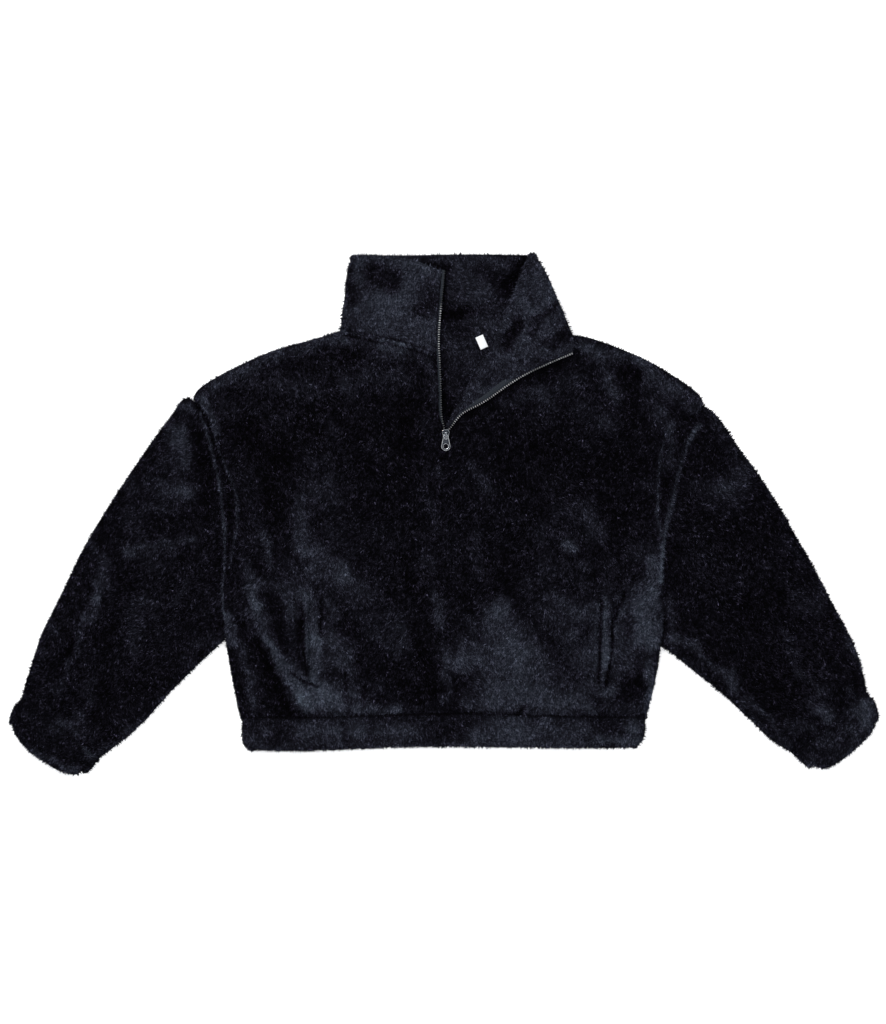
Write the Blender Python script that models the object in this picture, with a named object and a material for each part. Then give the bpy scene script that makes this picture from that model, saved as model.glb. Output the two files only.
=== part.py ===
"""Zip fleece: a cropped plush pullover with a stand collar and a half zip, laid flat on its back.

Every table and size below is in millimetres; the meshes are written in metres.
+X is the wearer's left, +Y runs up the garment to the collar, and +Z is up off the surface.
Each cloth piece is a wall worked out around its middle surface.
"""
import math
from collections import namedtuple

import bmesh
import bpy
import numpy as np
from mathutils.bvhtree import BVHTree

MM = 0.001
ORIGIN = (0.67, 1.11)

# Cloth and how it stacks up
PLUSH = 5.0
DOUBLED = 6.0
SEAM_GAP = 0.5
RIM = 4.0
AIR = 1.8
SLEEVE_AIR = 1.2
BACK_MID = PLUSH / 2
FRONT_MID = PLUSH * 1.5 + AIR
SLEEVE_TOP_MID = PLUSH * 1.5 + SLEEVE_AIR
COLLAR_BACK_MID = DOUBLED / 2
COLLAR_FRONT_MID = DOUBLED * 1.5 + 0.6
COLLAR_TURNED_MID = 16.4
FOLD_SLACK = 0.3
DEEPEST_DIP = -0.8
DEEPEST_FRONT_DIP = -1.3

# Mesh spacing: along the seams that cross the body, up it, and on the flat back
STEP = 17.0
ROW_STEP = 24.0
FLAP_STEP = 11.0
BACK_STEP = 34.0
SLEEVE_STEP = 26.0
CASING_STEP = 14.0
COLLAR_STEP = 20.0
WELT_STEP = 9.0
BEND_ANGLES = np.radians([45, 90, 135])

# Front, back and the seams that they share with the sleeves
Side = namedtuple("Side", "y right left")
BODY_SIDES = (
    Side(-258, -259, 259),
    Side(-229, -266, 266),
    Side(-202, -271, 272),
    Side(-147, -280, 280),
    Side(-106, -281, 282),
    Side(-58, -280, 281),
    Side(-19, -281, 284),
    Side(23, -284, 290),
    Side(59, -292, 297),
    Side(96, -301, 310),
    Side(122, -309, 322),
    Side(143, -318, 331),
)
CHEST_LINE = 96.0
HEM_SEAM = ((-259, -258), (-168, -259), (-68, -255), (34, -253), (136, -257), (259, -258))
SHOULDER_RIGHT = ((-318, 143), (-319, 152), (-306, 166), (-267, 188), (-217, 210), (-164, 225), (-130, 236))
SHOULDER_LEFT = ((136, 236), (166, 230), (194, 224), (255, 200), (301, 173), (326, 154), (331, 143))
NECK_RIGHT = ((-130, 236), (-93, 229), (-53, 221), (-10, 208))
NECK_LEFT = ((70, 221), (99, 229), (136, 236))
NECK_BACK = ((-130, 236), (-62, 231), (3, 229), (68, 231), (136, 236))

# Half zip: the slit down the front, and the corner turned out along a fold
ZIP_END = (3.0, 99.0)
SLIT_HALF_WIDTH = 2.2
FLAP_START = (ZIP_END[0] + SLIT_HALF_WIDTH, 110.0)
ZIP_EDGE_RIGHT = ((ZIP_END[0] - SLIT_HALF_WIDTH, 110), (-6, 130), (-7, 169), (-10, 208))
FOLD_LINE = (FLAP_START, (70, 221))
FLAP_EDGE = (FLAP_START, (12, 122), (25, 134), (51, 149), (78, 168))

# Collar: one doubled strip from the front edge round the back to the turned-out front edge
COLLAR_HEIGHT = 100.0
COLLAR_BASE_FRONT = ((-10, 209), (-53, 222), (-93, 230), (-127, 236))
COLLAR_TOP_FRONT = ((-3, 312), (-38, 325), (-80, 331), (-115, 333))
COLLAR_BASE_BACK = ((-127, 237), (-62, 232), (3, 230), (68, 232), (131, 237))
COLLAR_TOP_BACK = ((-115, 333), (-60, 332), (3, 333), (70, 333), (114, 332))
COLLAR_BASE_HIDDEN = ((131, 237), (99, 230), (70.5, 222))
COLLAR_BASE_TURNED = ((70.5, 222), (79, 168.5))
COLLAR_TOP_TURNED = ((114, 332), (120, 327), (132, 307), (148, 270), (161, 239), (166, 224), (165, 208))
COLLAR_COLUMNS = {"front": 7, "back": 9, "hidden": 3, "turned": 8}

# Sleeves, as laid: upper and under edges run from the armhole to the cuff seam
OVERARM_RIGHT = (
    (-320, 146), (-326, 149), (-334, 146), (-345, 132), (-368, 101), (-400, 55), (-430, 9),
    (-449, -22), (-466, -53), (-488, -99), (-511, -145), (-522, -175), (-532, -206), (-540, -234))
UNDERARM_RIGHT = (
    (-280, -157), (-297, -176), (-322, -200), (-348, -226), (-373, -254), (-399, -280), (-441, -313))
OVERARM_LEFT = (
    (332, 146), (345, 132), (358, 116), (378, 86), (401, 55), (431, 9), (448, -22), (466, -53), (490, -98),
    (515, -145), (529, -175), (537, -203), (542, -227))
UNDERARM_LEFT = (
    (282, -167), (293, -178), (318, -199), (344, -219), (370, -242), (395, -266), (421, -290), (449, -307))
SLEEVE_COLUMNS = 12
SLEEVE_BACK_COLUMNS = 6
HEM_COLUMNS = 33
HEM_BACK_COLUMNS = 14
CUFF_COLUMNS = 10
CUFF_BACK_COLUMNS = 4

# Casings over elastic: the seam edge, the two short sides and the open end of cuffs and hem band
Casing = namedtuple("Casing", "seam first_side end last_side")
CUFF_RIGHT = Casing(
    seam=((-540, -234.4), (-441, -313.4)),
    first_side=((-540, -234.4), (-551, -248), (-556, -264)),
    end=((-556, -264), (-551, -277), (-531, -300), (-501, -321), (-478, -332), (-465, -334), (-456, -330)),
    last_side=((-441, -313.4), (-449, -323), (-456, -330)))
CUFF_LEFT = Casing(
    seam=((542, -227.4), (449, -307.4)),
    first_side=((542, -227.4), (553, -242), (557, -259)),
    end=((557, -259), (550, -275), (525, -300), (499, -319), (482, -326), (466, -323)),
    last_side=((449, -307.4), (457, -316), (466, -323)))
HEM_BAND = Casing(
    seam=((-258, -259), (-168, -260), (-68, -256), (34, -254), (136, -258), (258, -259)),
    first_side=((-258, -259), (-257, -290), (-248, -300)),
    end=((-248, -300), (-184, -301), (-56, -296), (72, -296), (149, -297), (226, -297), (248, -296)),
    last_side=((258, -259), (257, -283), (248, -296)))
CASING_AIR = 1.6
CASING_DEPTH = 40.0

# Folds and gathers: a soft ridge (or a trough, with a fall) along a line, of this half width
Fold = namedtuple("Fold", "x0 y0 x1 y1 width rise")
FRONT_FOLDS = (
    Fold(-243, -50, -241, -109, 16, 3.0),
    Fold(-241, -109, -224, -165, 15, 3.6),
    Fold(-224, -165, -184, -250, 14, 3.2),
    Fold(-215, -105, -172, -215, 14, -1.4),
    Fold(-258, -165, -214, -250, 12, -1.3),
    Fold(-287, 60, -276, -10, 12, 1.8),
    Fold(-304, 122, -287, 60, 12, 1.6),
    Fold(312, 122, 286, 60, 13, 2.0),
    Fold(286, 60, 274, -30, 12, 1.8),
    Fold(268, -60, 262, -200, 18, 2.4),
    Fold(214, -236, 208, -258, 10, -1.2),
    Fold(-20, -60, -14, -250, 24, -1.0),
    Fold(110, -120, 80, -245, 34, 1.8),
    Fold(-110, -60, -120, -190, 40, 1.6),
    Fold(150, 60, 190, -60, 46, 1.4),
    Fold(-160, 140, -150, 20, 50, 1.2),
    Fold(-125, -206, -125, -254, 11, -1.0),
    Fold(-100, -224, -98, -254, 11, 1.4),
    Fold(60, -230, 56, -254, 12, 1.2),
    Fold(112, -236, 94, -254, 12, 1.5),
    Fold(170, -226, 172, -254, 12, 1.4),
)
HEM_GATHERS = (
    Fold(-222, -262, -226, -296, 12, 1.8),
    Fold(-178, -262, -182, -296, 11, 1.6),
    Fold(-130, -262, -128, -292, 10, -0.8),
    Fold(-100, -262, -104, -292, 12, 1.7),
    Fold(-52, -258, -50, -292, 12, 1.2),
    Fold(4, -258, 2, -290, 13, 1.0),
    Fold(54, -258, 58, -290, 11, 1.5),
    Fold(96, -258, 92, -290, 10, 1.6),
    Fold(142, -260, 148, -292, 12, 1.4),
    Fold(186, -262, 180, -292, 10, 1.8),
    Fold(216, -260, 214, -294, 8, -1.0),
    Fold(236, -262, 234, -292, 9, 1.8),
)
SLEEVE_FOLDS_RIGHT = (
    Fold(-470, -110, -490, -160, 14, 2.6),
    Fold(-490, -160, -508, -212, 13, 2.4),
    Fold(-472, -186, -490, -236, 12, 1.8),
    Fold(-400, 20, -340, 84, 26, 1.6),
    Fold(-318, 100, -304, 40, 16, -0.7),
    Fold(-304, 40, -298, -60, 18, -0.7),
    Fold(-420, -60, -350, -20, 34, 1.2),
    Fold(-330, -160, -400, -226, 20, 1.6),
    Fold(-430, -240, -452, -290, 12, 1.8),
)
SLEEVE_FOLDS_LEFT = (
    Fold(437, -134, 456, -211, 15, 2.6),
    Fold(456, -211, 494, -268, 13, 2.4),
    Fold(290, -152, 330, -182, 13, 2.4),
    Fold(330, -182, 362, -204, 14, 2.2),
    Fold(362, -204, 404, -252, 13, 2.0),
    Fold(332, 92, 306, 20, 17, -0.7),
    Fold(306, 20, 298, -60, 18, -0.7),
    Fold(370, 50, 420, -30, 30, 1.6),
    Fold(500, -150, 516, -216, 14, 1.8),
)
CUFF_FOLDS = (
    Fold(-520, -242, -540, -278, 9, 2.0),
    Fold(-494, -262, -514, -302, 9, 1.4),
    Fold(-462, -290, -482, -324, 9, 2.0),
    Fold(528, -240, 540, -276, 9, 2.0),
    Fold(498, -262, 514, -300, 9, 1.4),
    Fold(468, -294, 484, -318, 9, 2.0),
)
COLLAR_FOLDS = (
    Fold(-70, 300, -20, 262, 22, 1.0),
    Fold(99, 247, 143, 261, 9, 1.8),
    Fold(121, 215, 153, 234, 8, 1.8),
    Fold(110, 232, 150, 246, 8, -0.2),
    Fold(120, 300, 144, 268, 12, 1.2),
)

# Trims
WELT_THICK = 3.0
WELT_LIFT = 0.6
WELT_RIM = 2.5
Welt = namedtuple("Welt", "top bottom width")
WELTS = {
    "pocket_welt_right": Welt((-181, -96), (-181, -210), 17.0),
    "pocket_welt_left": Welt((209, -108), (202, -217), 15.5),
}
TAPE_THICK = 0.9
TAPE_START = 113.0
TAPE_TURN = 8.0
TAPE_CLEAR = 0.02
COLLAR_TAPE_ROWS = 9
TAPE_UNDER = PLUSH / 2 + 0.35 + TAPE_THICK / 2
TapePoint = namedtuple("TapePoint", "out away")
TAPE_SEWN = (
    TapePoint(-8.0, TAPE_UNDER), TapePoint(-4.0, TAPE_UNDER), TapePoint(-0.6, TAPE_UNDER - 0.5),
    TapePoint(1.2, 0.9), TapePoint(3.4, 0.0))
TAPE_BEAD = (
    TapePoint(0.8, 2.8), TapePoint(0.8, 2.0), TapePoint(0.9, 1.2), TapePoint(1.5, 0.4), TapePoint(3.4, 0.0))
LABEL_CENTRE = (49.0, 221.0)
LABEL_SIZE = (10.5, 17.0)
LABEL_TURN = math.radians(24)
LABEL_THICK = 1.2

# Zip slider and pull, around the middle of the zip's end
SLIDER_X = ZIP_END[0]
PLATE_ENDS = (98.2, 109.2)
PLATE_HALF_WIDTHS = (3.4, 4.6)
PLATE_CHAMFER = 1.2
PLATE_JOIN = 0.5
TOP_PLATE = (12.1, 13.5)
BOTTOM_PLATE = (5.4, 6.4)
POST_Y = (105.6, 108.6)
POST_HALF_WIDTH = 0.7
BAIL_Y = (99.6, 105.5)
BAIL_BAR = 1.2
BAIL_HALF_WIDTH = 0.9
BAIL_TOP = 16.9
PIVOT = (SLIDER_X, 101.9, 14.75)
PULL_TILT = math.radians(6)
PULL_THICK = 1.2
PULL_NECK = 2.8
PULL_EYE = (1.35, 0.6, 4.5)
PULL_RING_CENTRE = 14.3
PULL_RING_RADIUS = 5.75
PULL_HOLE_RADIUS = 3.2

COLOURS = {
    "plush": ((0.012, 0.015, 0.024, 1), 0.95, 0.0),
    "tape": ((0.016, 0.018, 0.026, 1), 0.8, 0.0),
    "metal": ((0.42, 0.44, 0.46, 1), 0.32, 1.0),
    "label": ((0.86, 0.87, 0.88, 1), 0.7, 0.0),
}


def clear_scene():
    """Remove what a new file holds."""
    for obj in list(bpy.data.objects):
        bpy.data.objects.remove(obj, do_unlink=True)


def material(name):
    """Principled material with the colour, roughness and metallic value of one finish."""
    colour, roughness, metallic = COLOURS[name]
    mat = bpy.data.materials.get(name) or bpy.data.materials.new(name)
    mat.use_nodes = True
    shader = mat.node_tree.nodes["Principled BSDF"]
    shader.inputs["Base Color"].default_value = colour
    shader.inputs["Roughness"].default_value = roughness
    shader.inputs["Metallic"].default_value = metallic
    mat.diffuse_color = colour
    return mat


def curve(points):
    """Smooth curve (Catmull-Rom) through the points, as a function of its length share, 0 to 1."""
    p = np.asarray(points, float)
    ends = np.vstack([2 * p[0] - p[1], p, 2 * p[-1] - p[-2]])
    a, b, c, d = ends[:-3], ends[1:-2], ends[2:-1], ends[3:]
    t = np.linspace(0, 1, 12, endpoint=False)[:, None, None]
    dense = 0.5 * (2 * b + (c - a) * t + (2 * a - 5 * b + 4 * c - d) * t**2 + (3 * b - a - 3 * c + d) * t**3)
    dense = np.vstack([dense.transpose(1, 0, 2).reshape(-1, p.shape[1]), p[-1]])
    run = np.concatenate([[0], np.cumsum(np.linalg.norm(np.diff(dense, axis=0), axis=1))])

    def at(share):
        s = np.asarray(share, float) * run[-1]
        return np.stack([np.interp(s, run, column) for column in dense.T], -1)

    at.length = run[-1]
    at.knots = (0.0, 1.0)
    return at


def chain(*parts):
    """Curves one after another as one function; its knots are where they meet."""
    length = sum(part.length for part in parts)
    knots = np.concatenate([[0], np.cumsum([part.length / length for part in parts])])

    def at(share):
        share = np.asarray(share, float)
        out = np.zeros(share.shape + (2,))
        for k, part in enumerate(parts):
            last = k == len(parts) - 1
            inside = (share >= knots[k]) & ((share <= 1) if last else (share < knots[k + 1]))
            out[inside] = part((share[inside] - knots[k]) / (knots[k + 1] - knots[k]))
        return out

    at.length = length
    at.knots = tuple(knots)
    return at


def stretch(whole, start, end):
    """The stretch of a curve between two length shares."""
    def at(share):
        return whole(start + (end - start) * np.asarray(share, float))

    at.length = whole.length * (end - start)
    at.knots = (0.0, 1.0)
    return at


def stations(length, step, knots=(0.0, 1.0), rims=(0.0, 1.0)):
    """Length shares at even steps between the knots, with two closer ones beside each rim."""
    near, far = 0.3 * RIM / length, RIM / length
    marks = set(knots)
    for start, end in zip(knots[:-1], knots[1:]):
        count = max(1, round((end - start) * length / step))
        marks.update(start + (end - start) * np.arange(1, count) / count)
    for rim in rims:
        marks = {m for m in marks if m in knots or abs(m - rim) > 1.7 * far}
        beside = (rim - far, rim - near, rim + near, rim + far)
        marks.update(m for m in beside if 0 < m < 1)
    return np.array(sorted(marks))


def patch(bottom, top, left, right, across, up):
    """Coons patch: rows of plan points that blend the four edge curves."""
    s = across[None, :, None]
    t = up[:, None, None]
    b, u = bottom(across)[None], top(across)[None]
    le, ri = left(up)[:, None], right(up)[:, None]
    corners = (1 - t) * ((1 - s) * b[:, :1] + s * b[:, -1:]) + t * ((1 - s) * u[:, :1] + s * u[:, -1:])
    return (1 - t) * b + t * u + (1 - s) * le + s * ri - corners


def relief(plan, folds):
    """Height of the folds over plan points: each is a bell across its line, rounded at its ends."""
    height = np.zeros(plan.shape[:-1])
    for f in folds:
        start = np.array([f.x0, f.y0], float)
        along = np.array([f.x1 - f.x0, f.y1 - f.y0], float)
        share = np.clip(((plan - start) @ along) / (along @ along), 0, 1)
        away = np.linalg.norm(plan - start - share[..., None] * along, axis=-1)
        height += f.rise * np.exp(-((away / f.width) ** 2))
    return height


def raised(plan, z):
    """Plan points given their heights, one for all or one each."""
    return np.concatenate([plan, np.broadcast_to(np.asarray(z, float), plan.shape[:-1])[..., None]], -1)


def front_height(plan):
    """Middle of the front's wall: level over the back, with its folds."""
    return FRONT_MID + np.maximum(relief(plan, FRONT_FOLDS), DEEPEST_FRONT_DIP)


def rim_distance(points, segments):
    """Distance from each point to the nearest boundary segment."""
    start, end = segments[:, 0], segments[:, 1]
    along = end - start
    length2 = np.maximum((along**2).sum(1), 1e-12)
    offset = points[:, None] - start[None]
    share = np.clip((offset * along).sum(2) / length2, 0, 1)
    return np.linalg.norm(offset - share[..., None] * along, axis=2).min(1)


def add_object(name, bm, finish):
    """Link a mesh as one object, with its faces outwards and its material."""
    if bm.calc_volume(signed=True) < 0:
        bmesh.ops.reverse_faces(bm, faces=bm.faces)
    mesh = bpy.data.meshes.new(name)
    bm.to_mesh(mesh)
    bm.free()
    mesh.shade_smooth()
    mesh.materials.append(material(finish))
    obj = bpy.data.objects.new(name, mesh)
    bpy.context.collection.objects.link(obj)
    return obj


def wall(name, patches, thickness, finish="plush", rim=RIM):
    """Closed wall around the welded patches of a middle surface.

    Half the thickness goes to each side along the normal.  Towards a boundary it falls off as a
    quarter of an ellipse, and both sides share the boundary's own points.
    """
    middle = bmesh.new()
    for grid in patches:
        ids = [[middle.verts.new(point * MM) for point in row] for row in grid]
        for low, high in zip(ids[:-1], ids[1:]):
            for k in range(len(low) - 1):
                middle.faces.new((low[k], low[k + 1], high[k + 1], high[k]))
    bmesh.ops.remove_doubles(middle, verts=middle.verts, dist=0.02 * MM)
    middle.normal_update()
    middle.verts.index_update()
    points = np.array([v.co[:] for v in middle.verts])
    normals = np.array([v.normal[:] for v in middle.verts])
    on_rim = np.array([v.is_boundary for v in middle.verts])
    segments = np.array([[v.co[:] for v in e.verts] for e in middle.edges if e.is_boundary])
    away = np.minimum(rim_distance(points, segments) / (rim * MM), 1)
    half = thickness * MM / 2 * np.sqrt(1 - (1 - away) ** 2)
    solid = bmesh.new()
    outer = [solid.verts.new(p) for p in points + normals * half[:, None]]
    inner = list(outer)
    for k in np.flatnonzero(~on_rim):
        inner[k] = solid.verts.new(points[k] - normals[k] * half[k])
    for face in middle.faces:
        ids = [v.index for v in face.verts]
        solid.faces.new([outer[k] for k in ids])
        solid.faces.new([inner[k] for k in reversed(ids)])
    middle.free()
    return add_object(name, solid, finish)


def body_side(side):
    """The armhole seam and side seam of one side, from the hem seam up to the shoulder tip."""
    return curve([(getattr(row, side), row.y) for row in BODY_SIDES])


def at_height(edge, y):
    """Length share at which an edge that climbs reaches a height."""
    shares = np.linspace(0, 1, 400)
    return float(np.interp(y, edge(shares)[:, 1], shares))


def back_panel():
    """The whole back, one layer lying on the surface from hem seam to neck and shoulder seams."""
    top = chain(curve(SHOULDER_RIGHT), curve(NECK_BACK), curve(SHOULDER_LEFT))
    bottom = curve(HEM_SEAM)
    sides = body_side("right"), body_side("left")
    across = stations(bottom.length, BACK_STEP, top.knots)
    up = stations(sides[0].length, BACK_STEP)
    plan = patch(bottom, top, *sides, across, up)
    return wall("back_panel", [raised(plan, BACK_MID)], PLUSH)


def slit(side):
    """One edge of the zip's slit as a curve, its stations, and those above its first knot again as
    shares of the edge above it: the zip's edge on the right, the fold line on the left.
    """
    first, edge, step = (ZIP_EDGE_RIGHT[0], ZIP_EDGE_RIGHT, ROW_STEP) if side == "right" else (
        FLAP_START, FOLD_LINE, FLAP_STEP)
    whole = chain(curve((ZIP_END, first)), curve(edge))
    up = stations(whole.length, step, whole.knots, rims=(1.0,))
    knot = whole.knots[1]
    above = (up[up >= knot - 1e-9] - knot) / (1 - knot)
    return whole, up, above


def front_panel():
    """The front with its half-zip slit; the corner on the wearer's left is turned out over a fold."""
    sides = {side: body_side(side) for side in ("right", "left")}
    share = {side: at_height(edge, CHEST_LINE) for side, edge in sides.items()}
    chest = {side: tuple(sides[side](share[side])) for side in sides}
    lower = {side: stretch(sides[side], 0, share[side]) for side in sides}
    upper = {side: stretch(sides[side], share[side], 1) for side in sides}
    chest_line = chain(curve((chest["right"], ZIP_END)), curve((ZIP_END, chest["left"])))
    middle = chest_line.knots[1]
    across = stations(chest_line.length, STEP, chest_line.knots, rims=(0.0, middle, 1.0))
    up = stations(lower["right"].length, ROW_STEP, rims=(0.0,))
    bottom = patch(curve(HEM_SEAM), chest_line, lower["right"], lower["left"], across, up)

    slit_right, up_right, _ = slit("right")
    top_right = chain(curve(SHOULDER_RIGHT), curve(NECK_RIGHT))
    on_right = across[across <= middle] / middle
    to_edge = stretch(chest_line, 0, middle)
    chest_right = patch(to_edge, top_right, upper["right"], slit_right, on_right, up_right)

    slit_left, up_left, along = slit("left")
    top_left = chain(curve(NECK_LEFT), curve(SHOULDER_LEFT))
    on_left = (across[across >= middle] - middle) / (1 - middle)
    from_edge = stretch(chest_line, middle, 1)
    chest_left = patch(from_edge, top_left, slit_left, upper["left"], on_left, up_left)

    patches = [raised(p, front_height(p)) for p in (bottom, chest_right, chest_left)]
    return wall("front_panel", patches + [chest_flap(along)], PLUSH)


def fold_radius(along):
    """Radius of the fold's middle surface: it opens from a crease at the slider to a full roll."""
    away = np.minimum(0.42 * along * curve(FOLD_LINE).length / RIM, 1)
    return PLUSH / 2 * np.sqrt(1 - (1 - away) ** 2) + FOLD_SLACK


def chest_flap(along):
    """Turned-out corner: from the zip's edge over the flap, then half a circle round the fold line."""
    fold = curve(FOLD_LINE)(along)
    edge = curve(FLAP_EDGE)(along)
    radius = fold_radius(along)[:, None]
    base = front_height(fold)[:, None]
    direction = np.subtract(FOLD_LINE[1], FOLD_LINE[0])
    outwards = np.array([-direction[1], direction[0]]) / np.linalg.norm(direction)
    share = np.array([0, 0.03, 0.1, 0.36, 0.68, 1.0])[None, :, None]
    lying = edge[:, None] * (1 - share) + fold[:, None] * share
    flap = raised(lying, front_height(lying) + 2 * radius)
    angle = np.radians([135, 90, 45, 0])[None]
    bulge = fold[:, None] + outwards * (radius * np.sin(angle))[..., None]
    roll = raised(bulge, base + radius * (1 - np.cos(angle)))
    grid = np.concatenate([flap, roll], 1)
    grid[0] = (*FLAP_START, front_height(np.array(FLAP_START)))
    return grid


def half_turn(base, top, low, high, side, rows):
    """Stations of a strip that bends half a circle round a line, from one level to another."""
    radius = abs(high - low) / 2
    axis = np.subtract(top, base)
    outwards = side * np.array([axis[1], -axis[0]]) / np.linalg.norm(axis)
    line = np.asarray(base)[None] + rows[:, None] * axis[None]
    plan = line[:, None] + outwards * (radius * np.sin(BEND_ANGLES))[None, :, None]
    return raised(plan, (low + high) / 2 - (high - low) / 2 * np.cos(BEND_ANGLES)[None])


def collar_run(base, top, level, rows, count):
    """Stations of a strip lying at one level: straight lines from its base edge to its top edge."""
    share = np.linspace(0, 1, count + 1)
    upper = curve(top)(share) if len(top) > 1 else np.repeat(np.array(top, float), count + 1, axis=0)
    plan = curve(base)(share)[None] * (1 - rows)[:, None, None] + upper[None] * rows[:, None, None]
    return raised(plan, level + np.maximum(relief(plan, COLLAR_FOLDS), 0))


def with_rims(grid):
    """A strip with two more stations close to each of its ends, where the wall rounds off."""
    near, far = 0.3 * RIM, RIM

    def beside(end, inner, distances):
        step = inner - end
        step = step / np.linalg.norm(step, axis=2, keepdims=True)
        return np.concatenate([end + step * d for d in distances], 1)

    first = beside(grid[:, :1], grid[:, 1:2], (near, far))
    last = beside(grid[:, -1:], grid[:, -2:-1], (far, near))
    return np.concatenate([grid[:, :1], first, grid[:, 1:-1], last, grid[:, -1:]], 1)


def collar():
    """Stand collar: the front, round the right edge, the back, forwards again and folded out.

    Under the turned-out part lies a three-cornered stretch, whose top is the corner of the fold.
    """
    rows = stations(COLLAR_HEIGHT, COLLAR_STEP)
    corner = COLLAR_TOP_BACK[-1]
    front, back, turned = COLLAR_FRONT_MID, COLLAR_BACK_MID, COLLAR_TURNED_MID
    pieces = [
        collar_run(COLLAR_BASE_FRONT, COLLAR_TOP_FRONT, front, rows, COLLAR_COLUMNS["front"]),
        half_turn(COLLAR_BASE_FRONT[-1], COLLAR_TOP_FRONT[-1], front, back, -1, rows),
        collar_run(COLLAR_BASE_BACK, COLLAR_TOP_BACK, back, rows, COLLAR_COLUMNS["back"]),
        half_turn(COLLAR_BASE_BACK[-1], corner, back, front, 1, rows),
        collar_run(COLLAR_BASE_HIDDEN, [corner], front, rows, COLLAR_COLUMNS["hidden"]),
        half_turn(COLLAR_BASE_HIDDEN[-1], corner, front, turned, -1, rows),
        collar_run(COLLAR_BASE_TURNED, COLLAR_TOP_TURNED, turned, rows, COLLAR_COLUMNS["turned"]),
    ]
    return wall("collar", [with_rims(np.concatenate(pieces, 1))], DOUBLED)


def resampled(rows, shares, wanted):
    """Rows of plan points read again at other shares across."""
    return np.stack([np.stack([np.interp(wanted, shares, row[:, k]) for k in range(2)], -1) for row in rows])


def flat_tube(name, plan, top_height, folds, thickness, back_columns):
    """Tube laid flat: a folded top layer over a level one, joined by half-round bends at both edges.

    plan holds rows of points across the tube, evenly spaced; its edge columns are the outline, and
    the middle surface stays half a wall and a bend's radius inside them.
    """
    low = thickness / 2
    radius = (top_height - low) / 2
    start, end = plan[:, :1], plan[:, -1:]
    width = np.linalg.norm(end - start, axis=2, keepdims=True)
    across = (end - start) / width
    shares = np.linspace(0, 1, plan.shape[1])
    squeeze = (radius + low) * (1 - 2 * shares)[None, :, None] * across
    inner = plan + squeeze
    top = raised(inner, top_height + np.maximum(relief(inner, folds), DEEPEST_DIP))
    back = raised(resampled(inner, shares, np.linspace(1, 0, back_columns + 1)), low)

    def bend(edge, side):
        middle, rise = (edge[:, None, 2] + low) / 2, (edge[:, None, 2] - low) / 2
        points = edge[:, None, :2] + side * across * (radius * np.sin(BEND_ANGLES))[None, :, None]
        return raised(points, middle + rise * np.cos(BEND_ANGLES))

    grid = np.concatenate([top, bend(top[:, -1], 1), back, bend(top[:, 0], -1)[:, ::-1], top[:, :1]], 1)
    return wall(name, [grid], thickness)


def sleeve(side, overarm, underarm, folds):
    """One sleeve, from the armhole seam to the cuff seam."""
    outwards = -1 if side == "right" else 1
    edge = body_side(side)
    low = at_height(edge, underarm[0][1])
    armhole = stretch(edge, 1, low)
    shares = np.linspace(0, 1, SLEEVE_COLUMNS)
    head = curve(armhole(shares) + np.array([outwards * SEAM_GAP, 0]))
    over = curve((tuple(head(0.0)),) + overarm[1:])
    under = curve((tuple(head(1.0)),) + underarm[1:])
    cuff_seam = curve((overarm[-1], underarm[-1]))
    plan = patch(head, cuff_seam, over, under, shares, stations(over.length, SLEEVE_STEP))
    return flat_tube("sleeve_" + side, plan, SLEEVE_TOP_MID, folds, PLUSH, SLEEVE_BACK_COLUMNS)


def casing(name, piece, folds, columns, back_columns):
    """Doubled casing over elastic, laid flat: a cuff or the hem band."""
    edges = [curve(points) for points in (piece.seam, piece.end, piece.first_side, piece.last_side)]
    plan = patch(*edges, np.linspace(0, 1, columns), stations(CASING_DEPTH, CASING_STEP))
    return flat_tube(name, plan, DOUBLED * 1.5 + CASING_AIR, folds, DOUBLED, back_columns)


def pocket_welt(name, welt, panel):
    """Pocket welt: a narrow strip whose points are the panel's own, moved out."""
    top, bottom = np.asarray(welt.top, float), np.asarray(welt.bottom, float)
    length = float(np.linalg.norm(bottom - top))
    down = (bottom - top) / length
    sideways = np.array([-down[1], down[0]])
    across = np.array([-0.5, -0.4, -0.2, 0.2, 0.4, 0.5]) * welt.width
    line = top[None] + stations(length, WELT_STEP)[:, None] * (bottom - top)[None]
    plan = line[:, None] + across[None, :, None] * sideways
    surface = BVHTree.FromObject(panel, bpy.context.evaluated_depsgraph_get())
    above, beneath = 100 * MM, (0, 0, -1)
    height = [[surface.ray_cast((x * MM, y * MM, above), beneath)[0].z / MM for x, y in row] for row in plan]
    return wall(name, [raised(plan, np.array(height) + WELT_LIFT + WELT_THICK / 2)], WELT_THICK, rim=WELT_RIM)


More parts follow.
